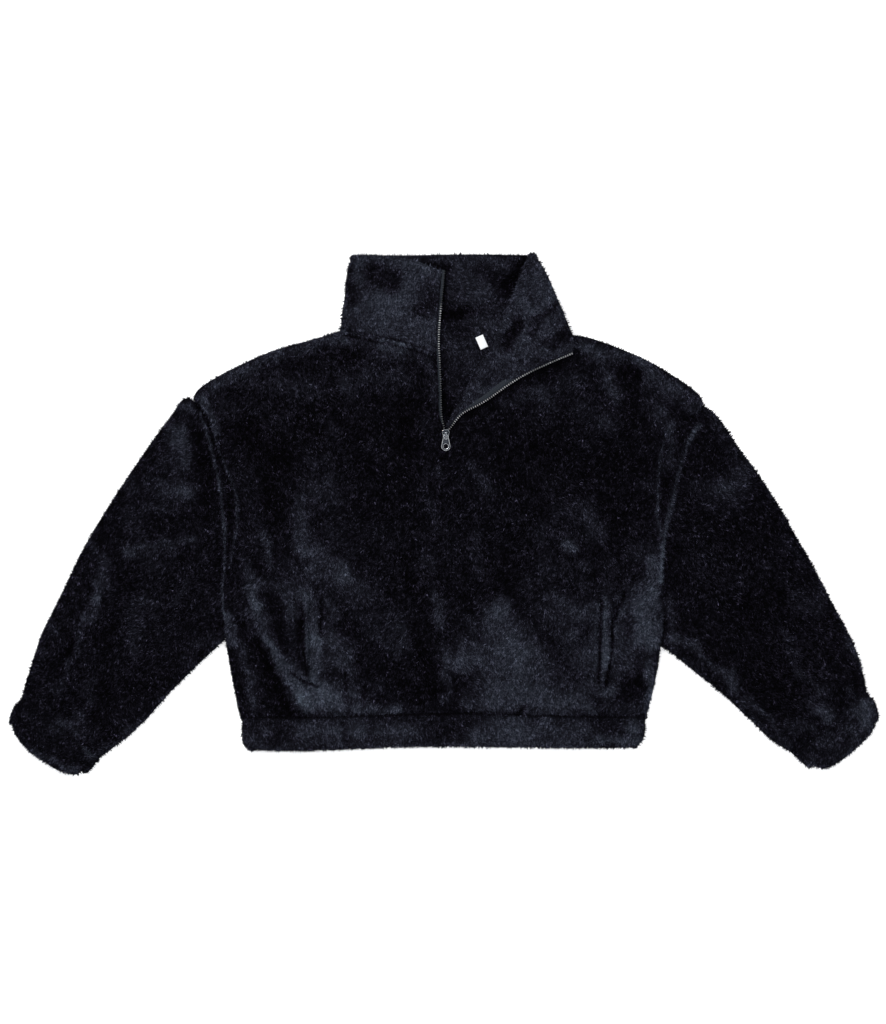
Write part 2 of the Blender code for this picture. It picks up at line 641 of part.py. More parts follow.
def zip_tape(name, chest_edge, collar_edge, chest_height, side):
    """Zip tape along a front edge: sewn to one face of the front, then a bead beyond the edge.

    In the collar, whose cloth is doubled over it, only the bead comes out past the edge.
    Its rows are at the front's own stations.
    """
    start, end = at_height(chest_edge, TAPE_START), 1 - TAPE_TURN / chest_edge.length
    own = slit("left" if side > 0 else "right")[2]
    chest_shares = np.array([start, *own[(own > start + TAPE_CLEAR) & (own < end - TAPE_CLEAR)], end])
    collar_shares = np.linspace(TAPE_TURN / 2 / collar_edge.length, 1, COLLAR_TAPE_ROWS)
    rows = []
    for edge, shares, section, level in (
            (chest_edge, chest_shares, TAPE_SEWN, chest_height),
            (collar_edge, collar_shares, TAPE_BEAD, None)):
        line = edge(shares)
        step = edge(np.minimum(shares + TAPE_CLEAR / 2, 1)) - edge(shares - TAPE_CLEAR / 2)
        right_hand = np.stack([step[:, 1], -step[:, 0]], 1) / np.linalg.norm(step, axis=1)[:, None]
        section = np.array(section)
        plan = line[:, None] + right_hand[:, None] * section[None, :, :1]
        middle = level(shares) if level else collar_level(side)
        rows.append(raised(plan, np.reshape(middle, (-1, 1)) + side * section[None, :, 1]))
    return wall(name, [np.concatenate(rows, 0)], TAPE_THICK, finish="tape", rim=0.9)


def collar_level(side):
    """Middle of the collar's wall at its front edge: lying flat, or turned out on the flap."""
    return COLLAR_TURNED_MID if side > 0 else COLLAR_FRONT_MID


def zip_tapes():
    """Both tapes, one on the inside of the right front edge and one along the turned-out edge."""
    right_edge = curve(ZIP_EDGE_RIGHT)
    right_collar = curve((COLLAR_BASE_FRONT[0], COLLAR_TOP_FRONT[0]))
    flap_edge = curve(FLAP_EDGE)
    flap_collar = curve((COLLAR_BASE_TURNED[-1], COLLAR_TOP_TURNED[-1]))

    def right_height(shares):
        return front_height(right_edge(shares))

    def flap_height(shares):
        return front_height(flap_edge(shares)) + 2 * fold_radius(shares)

    zip_tape("zip_tape_right", right_edge, right_collar, right_height, -1)
    zip_tape("zip_tape_left", flap_edge, flap_collar, flap_height, 1)


def neck_label():
    """Small bare label hanging from the back neck seam, turned a little."""
    width, height = LABEL_SIZE
    across = np.array([-0.5, -0.44, 0, 0.44, 0.5]) * width
    up = np.array([-0.5, -0.46, 0, 0.46, 0.5]) * height
    x, y = np.meshgrid(across, up)
    c, s = math.cos(LABEL_TURN), math.sin(LABEL_TURN)
    plan = np.stack([LABEL_CENTRE[0] + c * x - s * y, LABEL_CENTRE[1] + s * x + c * y], -1)
    return wall("neck_label", [raised(plan, PLUSH + 0.4 + LABEL_THICK / 2)], LABEL_THICK, "label", rim=0.5)


def prism(outline, low, high):
    """Mesh of a plan outline raised between two heights."""
    bm = bmesh.new()
    floor = bm.faces.new([bm.verts.new((x * MM, y * MM, low * MM)) for x, y in outline])
    lifted = bmesh.ops.extrude_face_region(bm, geom=[floor])
    rise = (high - low) * MM
    top = [v for v in lifted["geom"] if isinstance(v, bmesh.types.BMVert)]
    bmesh.ops.translate(bm, verts=top, vec=(0, 0, rise))
    bmesh.ops.recalc_face_normals(bm, faces=bm.faces)
    return bm


def box_outline(x0, x1, y0, y1):
    """Four corners of a plan rectangle."""
    return [(x0, y0), (x1, y0), (x1, y1), (x0, y1)]


def combine(base, others, operation):
    """Boolean of a base object with helper meshes, which are then removed."""
    for k, bm in enumerate(others):
        helper = add_object("helper_%d" % k, bm, "metal")
        modifier = base.modifiers.new("step_%d" % k, "BOOLEAN")
        modifier.operation = operation
        modifier.object = helper
        graph = bpy.context.evaluated_depsgraph_get()
        mesh = bpy.data.meshes.new_from_object(base.evaluated_get(graph))
        base.modifiers.clear()
        base.data = mesh
        bpy.data.objects.remove(helper, do_unlink=True)
    return base


def zip_slider():
    """Slider: two plates joined by a post that parts the tapes, and a bail for the pull on top."""
    x = SLIDER_X
    (y0, y1), (narrow, wide) = PLATE_ENDS, PLATE_HALF_WIDTHS
    waist = (narrow + wide) / 2
    chamfer = PLATE_CHAMFER
    plate = [
        (x - narrow + chamfer, y0), (x + narrow - chamfer, y0), (x + narrow, y0 + chamfer),
        (x + waist, (y0 + y1) / 2), (x + wide, y1 - 2 * chamfer), (x + wide - chamfer, y1),
        (x - wide + chamfer, y1), (x - wide, y1 - 2 * chamfer), (x - waist, (y0 + y1) / 2),
        (x - narrow, y0 + chamfer)]
    slider = add_object("zip_slider", prism(plate, *TOP_PLATE), "metal")
    bail_x = (x - BAIL_HALF_WIDTH, x + BAIL_HALF_WIDTH)
    inside_plate = TOP_PLATE[1] - PLATE_JOIN
    post = box_outline(x - POST_HALF_WIDTH, x + POST_HALF_WIDTH, *POST_Y)
    parts = [
        prism(plate, *BOTTOM_PLATE),
        prism(post, BOTTOM_PLATE[1] - PLATE_JOIN, TOP_PLATE[0] + PLATE_JOIN),
        prism(box_outline(*bail_x, BAIL_Y[0], BAIL_Y[0] + BAIL_BAR), inside_plate, BAIL_TOP),
        prism(box_outline(*bail_x, BAIL_Y[1] - BAIL_BAR, BAIL_Y[1]), inside_plate, BAIL_TOP),
        prism(box_outline(*bail_x, *BAIL_Y), BAIL_TOP - BAIL_BAR, BAIL_TOP),
    ]
    return combine(slider, parts, "UNION")


def circle_points(centre, radius, start, end, count):
    """Points on an arc, angles in degrees."""
    angles = np.radians(np.linspace(start, end, count))
    return [(centre[0] + radius * math.cos(a), centre[1] + radius * math.sin(a)) for a in angles]


def zip_pull():
    """Pull: a drop-shaped plate with a ring end, hung by its crossbar under the slider's bail."""
    low, high = -PULL_THICK / 2, PULL_THICK / 2
    ring = (0.0, -PULL_RING_CENTRE)
    outline = circle_points(ring, PULL_RING_RADIUS, 160, 380, 21) + [(PULL_NECK, 0.6), (-PULL_NECK, 0.6)]
    bm = prism(outline, low, high)
    pull = add_object("zip_pull", bm, "metal")
    half, near, far = PULL_EYE
    hole = circle_points(ring, PULL_HOLE_RADIUS, 0, 345, 20)
    cuts = [
        prism(box_outline(-half, half, -far, -near), low - 1, high + 1),
        prism(hole, low - 1, high + 1),
    ]
    combine(pull, cuts, "DIFFERENCE")
    pull.location = np.multiply(PIVOT, MM)
    pull.rotation_euler = (PULL_TILT, 0, 0)
    return pull


def build():
    """Every piece of the pullover, from the surface up."""
    clear_scene()
    back_panel()
    front = front_panel()
    sleeve("right", OVERARM_RIGHT, UNDERARM_RIGHT, SLEEVE_FOLDS_RIGHT)
    sleeve("left", OVERARM_LEFT, UNDERARM_LEFT, SLEEVE_FOLDS_LEFT)
    collar()
    casing("hem_band", HEM_BAND, HEM_GATHERS, HEM_COLUMNS, HEM_BACK_COLUMNS)
    casing("cuff_right", CUFF_RIGHT, CUFF_FOLDS, CUFF_COLUMNS, CUFF_BACK_COLUMNS)
    casing("cuff_left", CUFF_LEFT, CUFF_FOLDS, CUFF_COLUMNS, CUFF_BACK_COLUMNS)
    for name, welt in WELTS.items():
        pocket_welt(name, welt, front)
    zip_tapes()
    neck_label()
    zip_slider()
    zip_pull()
    for obj in bpy.data.objects:
        obj.location.x -= ORIGIN[0] * MM
        obj.location.y -= ORIGIN[1] * MM


build()
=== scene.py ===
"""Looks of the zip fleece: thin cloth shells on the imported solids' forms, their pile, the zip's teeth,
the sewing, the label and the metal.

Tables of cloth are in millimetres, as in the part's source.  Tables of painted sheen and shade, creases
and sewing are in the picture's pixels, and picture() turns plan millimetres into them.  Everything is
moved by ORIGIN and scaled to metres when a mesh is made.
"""
import math
from collections import namedtuple

import bpy
import numpy as np
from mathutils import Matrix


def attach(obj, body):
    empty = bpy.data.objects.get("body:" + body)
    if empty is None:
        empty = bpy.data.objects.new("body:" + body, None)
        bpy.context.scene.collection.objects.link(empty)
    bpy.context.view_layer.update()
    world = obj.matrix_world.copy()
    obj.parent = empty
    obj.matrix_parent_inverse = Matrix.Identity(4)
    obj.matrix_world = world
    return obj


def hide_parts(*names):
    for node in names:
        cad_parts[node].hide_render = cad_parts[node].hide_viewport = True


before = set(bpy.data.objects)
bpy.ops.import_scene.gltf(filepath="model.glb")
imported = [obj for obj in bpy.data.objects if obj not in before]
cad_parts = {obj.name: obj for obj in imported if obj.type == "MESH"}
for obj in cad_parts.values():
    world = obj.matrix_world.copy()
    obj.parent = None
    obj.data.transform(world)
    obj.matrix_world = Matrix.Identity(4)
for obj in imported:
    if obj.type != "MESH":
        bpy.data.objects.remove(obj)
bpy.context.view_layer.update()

MM = 0.001
ORIGIN = np.array([0.67, 1.11, 0.0])
PIXEL = 1.28
PICTURE_MIDDLE = (443.5, 515.0)

# Cloth and how it stacks up, as in the solids
PLUSH = 5.0
DOUBLED = 6.0
SEAM_LAP = 1.6
RIM = 2.4
BACK_MID = 2.5
FRONT_MID = 9.3
SLEEVE_TOP_MID = 8.7
CASING_TOP_MID = 10.6
COLLAR_BACK_MID = 3.0
COLLAR_FRONT_MID = 9.6
COLLAR_TURNED_MID = 16.4
FOLD_SLACK = 0.3
DEEPEST_DIP = -0.8
DEEPEST_FRONT_DIP = -1.3
BEND_ANGLES = np.radians(np.arange(20, 180, 20))

# Small dents: how deep the broad ones and the small ones are
BROAD_DENT = 0.35
SMALL_DENT = 0.2

# Backing of the pile: its half thickness in single and doubled cloth, and how far inside the solid's
# face it lies on a tube.  Then how fast the turned-out corner's fold opens from its crease
BACKING = 0.9
BACKING_DOUBLED = 1.4
TUBE_INSET = 2.2
FOLD_OPENS = 0.42

# Pocket edge: its half thickness, its rounded rim, and its lift over the front's pile
WELT_HALF = 0.8
WELT_RIM = 2.5
WELT_LIFT = 1.9

# Least length and least squared length that is divided by, and a distance past everything
TINY = 1e-9
TINY_SQUARE = 1e-12
FAR = 1e3

Side = namedtuple("Side", "y right left")
BODY_SIDES = (
    Side(-258, -259, 259),
    Side(-229, -266, 266),
    Side(-202, -271, 272),
    Side(-147, -280, 280),
    Side(-106, -281, 282),
    Side(-58, -280, 281),
    Side(-19, -281, 284),
    Side(23, -284, 290),
    Side(59, -292, 297),
    Side(96, -301, 310),
    Side(122, -309, 322),
    Side(143, -318, 331),
)
CHEST_LINE = 96.0
HEM_SEAM = ((-259, -258), (-168, -259), (-68, -255), (34, -253), (136, -257), (259, -258))
SHOULDER_RIGHT = ((-318, 143), (-319, 152), (-306, 166), (-267, 188), (-217, 210), (-164, 225), (-130, 236))
SHOULDER_LEFT = ((136, 236), (166, 230), (194, 224), (255, 200), (301, 173), (326, 154), (331, 143))
NECK_RIGHT = ((-130, 236), (-93, 229), (-53, 221), (-10, 208))
NECK_LEFT = ((70, 221), (99, 229), (136, 236))
NECK_BACK = ((-130, 236), (-62, 231), (3, 229), (68, 231), (136, 236))
ZIP_END = (3.0, 99.0)
FLAP_START = (5.2, 110.0)
ZIP_EDGE_RIGHT = ((0.8, 110), (-6, 130), (-7, 169), (-10, 208))
FOLD_LINE = (FLAP_START, (70, 221))
FLAP_EDGE = (FLAP_START, (12, 122), (25, 134), (51, 149), (78, 168))

COLLAR_HEIGHT = 100.0
COLLAR_BASE_FRONT = ((-10, 209), (-53, 222), (-93, 230), (-127, 236))
COLLAR_TOP_FRONT = ((-3, 312), (-38, 325), (-80, 331), (-115, 333))
COLLAR_BASE_BACK = ((-127, 237), (-62, 232), (3, 230), (68, 232), (131, 237))
COLLAR_TOP_BACK = ((-115, 333), (-60, 332), (3, 333), (70, 333), (114, 332))
CORNER_CENTRE = np.array([-106.0, 322.5])
CORNER_RADIUS = 11.0
COLLAR_BASE_HIDDEN = ((131, 237), (99, 230), (70.5, 222))
COLLAR_BASE_TURNED = ((70.5, 222), (79, 168.5))
COLLAR_TOP_TURNED = ((114, 332), (120, 327), (132, 307), (148, 270), (161, 239), (166, 224), (165, 208))

OVERARM_RIGHT = (
    (-320, 147), (-326, 151), (-334, 148), (-345, 132), (-368, 101), (-400, 55), (-430, 9),
    (-449, -22), (-466, -53), (-488, -99), (-511, -145), (-522, -175), (-532, -206), (-540, -234))
UNDERARM_RIGHT = (
    (-280, -157), (-297, -176), (-322, -200), (-348, -226), (-373, -254), (-399, -280), (-441, -313))
OVERARM_LEFT = (
    (332, 146), (345, 132), (358, 116), (378, 86), (401, 55), (431, 9), (448, -22), (466, -53), (490, -98),
    (515, -145), (529, -175), (537, -203), (542, -227))
UNDERARM_LEFT = (
    (282, -167), (293, -178), (318, -199), (344, -219), (370, -242), (395, -266), (421, -290), (449, -307))

Casing = namedtuple("Casing", "seam first_side end last_side")
CUFF_RIGHT = Casing(
    seam=((-540, -234.4), (-441, -313.4)),
    first_side=((-540, -234.4), (-551, -248), (-556, -264)),
    end=((-556, -264), (-551, -277), (-531, -300), (-501, -321), (-478, -332), (-465, -334), (-456, -330)),
    last_side=((-441, -313.4), (-449, -323), (-456, -330)))
CUFF_LEFT = Casing(
    seam=((542, -227.4), (449, -307.4)),
    first_side=((542, -227.4), (553, -242), (557, -259)),
    end=((557, -259), (550, -275), (525, -300), (499, -319), (482, -326), (466, -323)),
    last_side=((449, -307.4), (457, -316), (466, -323)))
HEM_BAND = Casing(
    seam=((-258, -259), (-168, -260), (-68, -256), (34, -254), (136, -258), (258, -259)),
    first_side=((-258, -259), (-257, -290), (-248, -300)),
    end=((-248, -300), (-184, -301), (-56, -296), (72, -296), (149, -297), (226, -297), (248, -296)),
    last_side=((258, -259), (257, -283), (248, -296)))

# Folds, in millimetres: the solids' own, then the finer creases that only this model has
Fold = namedtuple("Fold", "x0 y0 x1 y1 width rise")
FRONT_FOLDS = (
    Fold(-243, -50, -241, -109, 16, 3.0),
    Fold(-241, -109, -224, -165, 15, 3.6),
    Fold(-224, -165, -184, -250, 14, 3.2),
    Fold(-215, -105, -172, -215, 14, -1.4),
    Fold(-258, -165, -214, -250, 12, -1.3),
    Fold(-287, 60, -276, -10, 12, 1.8),
    Fold(-304, 122, -287, 60, 12, 1.6),
    Fold(312, 122, 286, 60, 13, 2.0),
    Fold(286, 60, 274, -30, 12, 1.8),
    Fold(268, -60, 262, -200, 18, 2.4),
    Fold(214, -236, 208, -258, 10, -1.2),
    Fold(-20, -60, -14, -250, 24, -1.0),
    Fold(110, -120, 80, -245, 34, 1.8),
    Fold(-110, -60, -120, -190, 40, 1.6),
    Fold(150, 60, 190, -60, 46, 1.4),
    Fold(-160, 140, -150, 20, 50, 1.2),
    Fold(-125, -206, -125, -254, 11, -1.0),
    Fold(-100, -224, -98, -254, 11, 1.4),
    Fold(60, -230, 56, -254, 12, 1.2),
    Fold(112, -236, 94, -254, 12, 1.5),
    Fold(170, -226, 172, -254, 12, 1.4),
)
HEM_GATHERS = (
    Fold(-222, -262, -226, -296, 12, 1.8),
    Fold(-178, -262, -182, -296, 11, 1.6),
    Fold(-130, -262, -128, -292, 10, -0.8),
    Fold(-100, -262, -104, -292, 12, 1.7),
    Fold(-52, -258, -50, -292, 12, 1.2),
    Fold(4, -258, 2, -290, 13, 1.0),
    Fold(54, -258, 58, -290, 11, 1.5),
    Fold(96, -258, 92, -290, 10, 1.6),
    Fold(142, -260, 148, -292, 12, 1.4),
    Fold(186, -262, 180, -292, 10, 1.8),
    Fold(216, -260, 214, -294, 8, -1.0),
    Fold(236, -262, 234, -292, 9, 1.8),
)
SLEEVE_FOLDS_RIGHT = (
    Fold(-470, -110, -490, -160, 14, 2.6),
    Fold(-490, -160, -508, -212, 13, 2.4),
    Fold(-472, -186, -490, -236, 12, 1.8),
    Fold(-400, 20, -340, 84, 26, 1.6),
    Fold(-318, 100, -304, 40, 16, -0.7),
    Fold(-304, 40, -298, -60, 18, -0.7),
    Fold(-420, -60, -350, -20, 34, 1.2),
    Fold(-330, -160, -400, -226, 20, 1.6),
    Fold(-430, -240, -452, -290, 12, 1.8),
)
SLEEVE_FOLDS_LEFT = (
    Fold(437, -134, 456, -211, 15, 2.6),
    Fold(456, -211, 494, -268, 13, 2.4),
    Fold(290, -152, 330, -182, 13, 2.4),
    Fold(330, -182, 362, -204, 14, 2.2),
    Fold(362, -204, 404, -252, 13, 2.0),
    Fold(332, 92, 306, 20, 17, -0.7),
    Fold(306, 20, 298, -60, 18, -0.7),
    Fold(370, 50, 420, -30, 30, 1.6),
    Fold(500, -150, 516, -216, 14, 1.8),
)
CUFF_FOLDS = (
    Fold(-520, -242, -540, -278, 9, 2.0),
    Fold(-494, -262, -514, -302, 9, 1.4),
    Fold(-462, -290, -482, -324, 9, 2.0),
    Fold(528, -240, 540, -276, 9, 2.0),
    Fold(498, -262, 514, -300, 9, 1.4),
    Fold(468, -294, 484, -318, 9, 2.0),
)
COLLAR_FOLDS = (
    Fold(-70, 300, -20, 262, 22, 1.0),
    Fold(99, 247, 143, 261, 9, 1.8),
    Fold(121, 215, 153, 234, 8, 1.8),
    Fold(110, 232, 150, 246, 8, -0.2),
    Fold(120, 300, 144, 268, 12, 1.2),
)

Welt = namedtuple("Welt", "top bottom width")
WELTS = {
    "pocket_welt_right": Welt((-181, -96), (-181, -210), 17.0),
    "pocket_welt_left": Welt((209, -108), (202, -217), 15.5),
}

# Painted sheen and painted shade of the pile, in the picture's pixels: a soft streak from one point to the
# other, this wide, this much lighter (or darker) than the rest of its layer.  The light streaks paint the
# nap's sheen and light on fold ridges; the dark ones paint shade in folds and hollows, beside the zip's
# teeth and where one layer lies over another
SheenAndShade = namedtuple("SheenAndShade", "x0 y0 x1 y1 reach lift")
BODY_SHEEN_AND_SHADE = (
    SheenAndShade(212, 386, 275, 353, 8, 0.4), SheenAndShade(275, 352, 340, 337, 9, 0.48), SheenAndShade(343, 340, 432, 354, 4, 0.4),
    SheenAndShade(375, 356, 430, 362, 5, 0.3), SheenAndShade(350, 356, 352, 366, 11, -0.28), SheenAndShade(350, 372, 400, 378, 13, 0.37),
    SheenAndShade(343, 388, 352, 396, 9, 0.24), SheenAndShade(240, 374, 310, 392, 13, 0.24), SheenAndShade(226, 404, 233, 412, 8, 0.24),
    SheenAndShade(200, 396, 216, 428, 6, 0.61), SheenAndShade(434, 366, 436, 402, 5, 0.37), SheenAndShade(422, 420, 431, 436, 9, 0.15),
    SheenAndShade(325, 418, 336, 430, 9, 0.15), SheenAndShade(305, 470, 330, 500, 13, 0.3), SheenAndShade(301, 500, 303, 548, 8, 0.49),
    SheenAndShade(345, 520, 375, 530, 10, 0.17), SheenAndShade(252, 470, 256, 540, 9, 0.12), SheenAndShade(266, 530, 271, 566, 5, 0.43),
    SheenAndShade(249, 574, 256, 604, 8, 0.5), SheenAndShade(256, 604, 266, 640, 7.5, 0.5), SheenAndShade(266, 640, 294, 680, 8, 0.5),
    SheenAndShade(314, 552, 342, 574, 13, 0.45), SheenAndShade(312, 578, 370, 590, 12, 0.27), SheenAndShade(340, 566, 346, 572, 9, 0.37),
    SheenAndShade(360, 592, 396, 620, 13, 0.27), SheenAndShade(402, 628, 405, 646, 7, 0.37), SheenAndShade(309, 594, 313, 640, 8, 0.61),
    SheenAndShade(313, 640, 315, 672, 8, 0.61), SheenAndShade(322, 642, 344, 660, 10, 0.37), SheenAndShade(302, 694, 336, 703, 16, 0.7),
    SheenAndShade(356, 708, 396, 709, 6, 0.55), SheenAndShade(350, 690, 362, 700, 6, 0.37), SheenAndShade(229, 612, 232, 642, 5, 0.61),
    SheenAndShade(240, 642, 246, 668, 5, 0.37), SheenAndShade(247, 672, 256, 714, 5, 0.24), SheenAndShade(436, 596, 440, 622, 7, 0.43),
    SheenAndShade(424, 556, 432, 566, 7, 0.22), SheenAndShade(444, 644, 447, 700, 5, 0.37), SheenAndShade(475, 536, 477, 572, 5, 0.24),
    SheenAndShade(498, 606, 504, 610, 10, 0.55), SheenAndShade(490, 622, 528, 640, 17, 0.52), SheenAndShade(472, 652, 538, 664, 20, 0.6),
    SheenAndShade(490, 690, 560, 700, 19, 0.61), SheenAndShade(453, 660, 460, 664, 10, 0.37), SheenAndShade(552, 600, 580, 614, 14, 0.37),
    SheenAndShade(598, 612, 600, 660, 12, 0.55), SheenAndShade(572, 700, 584, 702, 12, 0.43), SheenAndShade(584, 648, 588, 652, 10, 0.18),
    SheenAndShade(644, 600, 648, 640, 15, 0.73), SheenAndShade(652, 562, 656, 590, 8, 0.55), SheenAndShade(624, 600, 616, 650, 8, 0.49),
    SheenAndShade(630, 642, 626, 664, 10, 0.43), SheenAndShade(650, 676, 644, 710, 5, 0.43), SheenAndShade(472, 466, 494, 490, 7, 0.27),
    SheenAndShade(566, 543, 571, 549, 6, 0.55), SheenAndShade(580, 562, 588, 568, 5, 0.3), SheenAndShade(560, 518, 600, 530, 16, 0.2),
    SheenAndShade(540, 528, 542, 538, 7, 0.27), SheenAndShade(630, 548, 636, 556, 9, 0.18), SheenAndShade(580, 406, 602, 424, 12, 0.3),
    SheenAndShade(610, 384, 614, 392, 10, 0.39), SheenAndShade(604, 360, 612, 400, 6, 0.27), SheenAndShade(656, 414, 668, 428, 8, 0.37),
    SheenAndShade(648, 380, 672, 394, 11, 0.39), SheenAndShade(540, 390, 550, 404, 7, 0.3), SheenAndShade(500, 401, 530, 396, 6, 0.18),
    SheenAndShade(482, 410, 486, 414, 6, 0.22), SheenAndShade(576, 343, 640, 362, 7, 0.42), SheenAndShade(640, 362, 694, 396, 7, 0.36),
    SheenAndShade(684, 404, 698, 408, 7, 0.43), SheenAndShade(436, 466, 442, 474, 6, 0.27), SheenAndShade(640, 555, 652, 560, 7, 0.24),
    SheenAndShade(592, 444, 600, 450, 10, 0.15), SheenAndShade(630, 585, 645, 582, 7, 0.3), SheenAndShade(268, 480, 284, 560, 9, -0.07),
    SheenAndShade(246, 622, 284, 706, 9, -0.21), SheenAndShade(270, 592, 286, 650, 8, -0.18), SheenAndShade(340, 622, 380, 700, 9, -0.07),
    SheenAndShade(418, 580, 426, 700, 13, -0.09), SheenAndShade(630, 366, 630, 450, 8, -0.12),
    SheenAndShade(632, 684, 606, 716, 9, -0.22), SheenAndShade(604, 700, 602, 716, 5, -0.12),
    SheenAndShade(346, 673, 346, 701, 2.2, -0.4), SheenAndShade(364, 686, 364, 705, 2.6, -0.4),
    SheenAndShade(526, 704, 516, 713, 1.8, -0.6), SheenAndShade(470, 414, 560, 370, 5, -0.15), SheenAndShade(300, 620, 300, 640, 3, -0.3),
    SheenAndShade(283, 600, 292, 660, 6, -0.12), SheenAndShade(526, 388, 546, 392, 8, 0.3), SheenAndShade(562, 386, 578, 380, 9, 0.25),
    SheenAndShade(280, 404, 320, 404, 12, -0.1), SheenAndShade(408, 400, 408, 480, 12, -0.22),
    SheenAndShade(430, 404, 450, 410, 8, -0.18), SheenAndShade(506, 404, 514, 402, 8, 0.25), SheenAndShade(646, 404, 656, 408, 9, 0.28),
    SheenAndShade(246, 432, 274, 450, 16, -0.34), SheenAndShade(300, 424, 356, 424, 14, -0.14),
    SheenAndShade(606, 420, 614, 430, 10, 0.22), SheenAndShade(505, 444, 575, 446, 12, -0.12),
    SheenAndShade(262, 462, 300, 470, 12, -0.2), SheenAndShade(326, 462, 334, 476, 8, 0.25), SheenAndShade(560, 462, 640, 468, 14, -0.15),
    SheenAndShade(268, 486, 272, 504, 8, -0.2), SheenAndShade(330, 484, 332, 490, 8, 0.18), SheenAndShade(525, 484, 535, 488, 8, -0.15),
    SheenAndShade(585, 486, 634, 490, 13, -0.1), SheenAndShade(428, 500, 434, 522, 8, 0.22), SheenAndShade(606, 504, 614, 530, 10, -0.22),
    SheenAndShade(566, 524, 574, 528, 8, -0.15), SheenAndShade(645, 544, 655, 548, 8, 0.22), SheenAndShade(247, 560, 252, 572, 6, 0.3),
    SheenAndShade(404, 560, 414, 590, 9, -0.2), SheenAndShade(546, 562, 576, 574, 10, 0.22), SheenAndShade(606, 560, 614, 570, 8, 0.2),
    SheenAndShade(264, 584, 300, 590, 9, 0.4), SheenAndShade(526, 584, 534, 610, 9, 0.25), SheenAndShade(586, 586, 616, 590, 9, 0.25),
    SheenAndShade(289, 600, 292, 660, 5, 0.4), SheenAndShade(328, 600, 334, 636, 9, 0.32), SheenAndShade(466, 598, 470, 612, 6, -0.2),
    SheenAndShade(606, 600, 614, 612, 8, 0.3), SheenAndShade(366, 618, 376, 630, 9, 0.28), SheenAndShade(548, 618, 574, 640, 12, 0.35),
    SheenAndShade(346, 640, 352, 668, 8, 0.3), SheenAndShade(566, 640, 576, 664, 11, 0.4), SheenAndShade(328, 662, 352, 672, 9, 0.3),
    SheenAndShade(386, 660, 392, 680, 9, -0.15), SheenAndShade(424, 650, 436, 690, 8, -0.2), SheenAndShade(586, 660, 596, 676, 9, 0.35),
    SheenAndShade(608, 656, 616, 676, 7, 0.4), SheenAndShade(648, 662, 652, 676, 6, 0.25), SheenAndShade(250, 678, 252, 700, 6, 0.3),
    SheenAndShade(346, 684, 376, 692, 9, 0.3), SheenAndShade(404, 684, 414, 700, 9, -0.2), SheenAndShade(584, 684, 616, 690, 9, 0.45),
    SheenAndShade(606, 690, 612, 712, 7, 0.4), SheenAndShade(649, 684, 650, 700, 6, 0.3), SheenAndShade(362, 706, 396, 706, 7, 0.25),
    SheenAndShade(426, 704, 436, 712, 6, 0.2), SheenAndShade(464, 704, 492, 708, 8, 0.35), SheenAndShade(582, 706, 636, 708, 8, 0.35),
    SheenAndShade(656, 590, 662, 628, 6, 0.45), SheenAndShade(318, 684, 336, 690, 9, 0.3), SheenAndShade(384, 684, 396, 692, 8, 0.25),
    SheenAndShade(404, 704, 416, 709, 6, 0.25), SheenAndShade(466, 700, 478, 710, 8, 0.25), SheenAndShade(584, 700, 596, 710, 8, 0.25),
    SheenAndShade(246, 612, 254, 634, 6, 0.3), SheenAndShade(606, 616, 614, 632, 7, 0.25), SheenAndShade(344, 598, 356, 612, 8, 0.22),
    SheenAndShade(564, 598, 576, 612, 8, 0.22), SheenAndShade(306, 556, 314, 574, 7, 0.28), SheenAndShade(546, 578, 554, 592, 8, 0.2),
    SheenAndShade(564, 678, 576, 692, 8, 0.25), SheenAndShade(274, 650, 288, 678, 6.5, 0.5), SheenAndShade(298, 692, 308, 706, 8, 0.5),
    SheenAndShade(300, 676, 330, 688, 9, 0.35), SheenAndShade(672, 424, 668, 470, 5, 0.45), SheenAndShade(382, 346, 398, 350, 7, 0.5),
    SheenAndShade(626, 366, 636, 370, 7, -0.25), SheenAndShade(346, 382, 356, 390, 8, 0.22), SheenAndShade(326, 422, 336, 430, 8, 0.22),
    SheenAndShade(645, 484, 655, 490, 8, 0.22), SheenAndShade(586, 504, 596, 530, 9, 0.26), SheenAndShade(246, 584, 254, 592, 6, 0.3),
    SheenAndShade(286, 602, 296, 612, 6, 0.3), SheenAndShade(386, 640, 396, 650, 8, 0.25), SheenAndShade(564, 642, 576, 650, 7, -0.15),
    SheenAndShade(286, 660, 296, 672, 7, 0.3), SheenAndShade(646, 662, 654, 670, 6, 0.25), SheenAndShade(320, 628, 345, 650, 10, 0.3),
    SheenAndShade(206, 462, 214, 474, 6, -0.2), SheenAndShade(505, 464, 515, 470, 8, -0.2), SheenAndShade(640, 606, 652, 640, 10, 0.2),
    SheenAndShade(604, 600, 604, 676, 4, 0.35), SheenAndShade(646, 362, 654, 370, 7, 0.25), SheenAndShade(404, 440, 414, 450, 8, -0.15),
    SheenAndShade(364, 462, 374, 470, 8, -0.15), SheenAndShade(306, 484, 314, 490, 7, 0.2), SheenAndShade(330, 530, 352, 550, 9, 0.25),
    SheenAndShade(284, 562, 294, 570, 8, 0.22), SheenAndShade(466, 622, 474, 630, 7, 0.22), SheenAndShade(650, 664, 652, 700, 4, 0.3),
    SheenAndShade(226, 520, 232, 532, 5, 0.25), SheenAndShade(324, 600, 336, 612, 7, 0.25), SheenAndShade(584, 346, 600, 349, 7, 0.2),
)
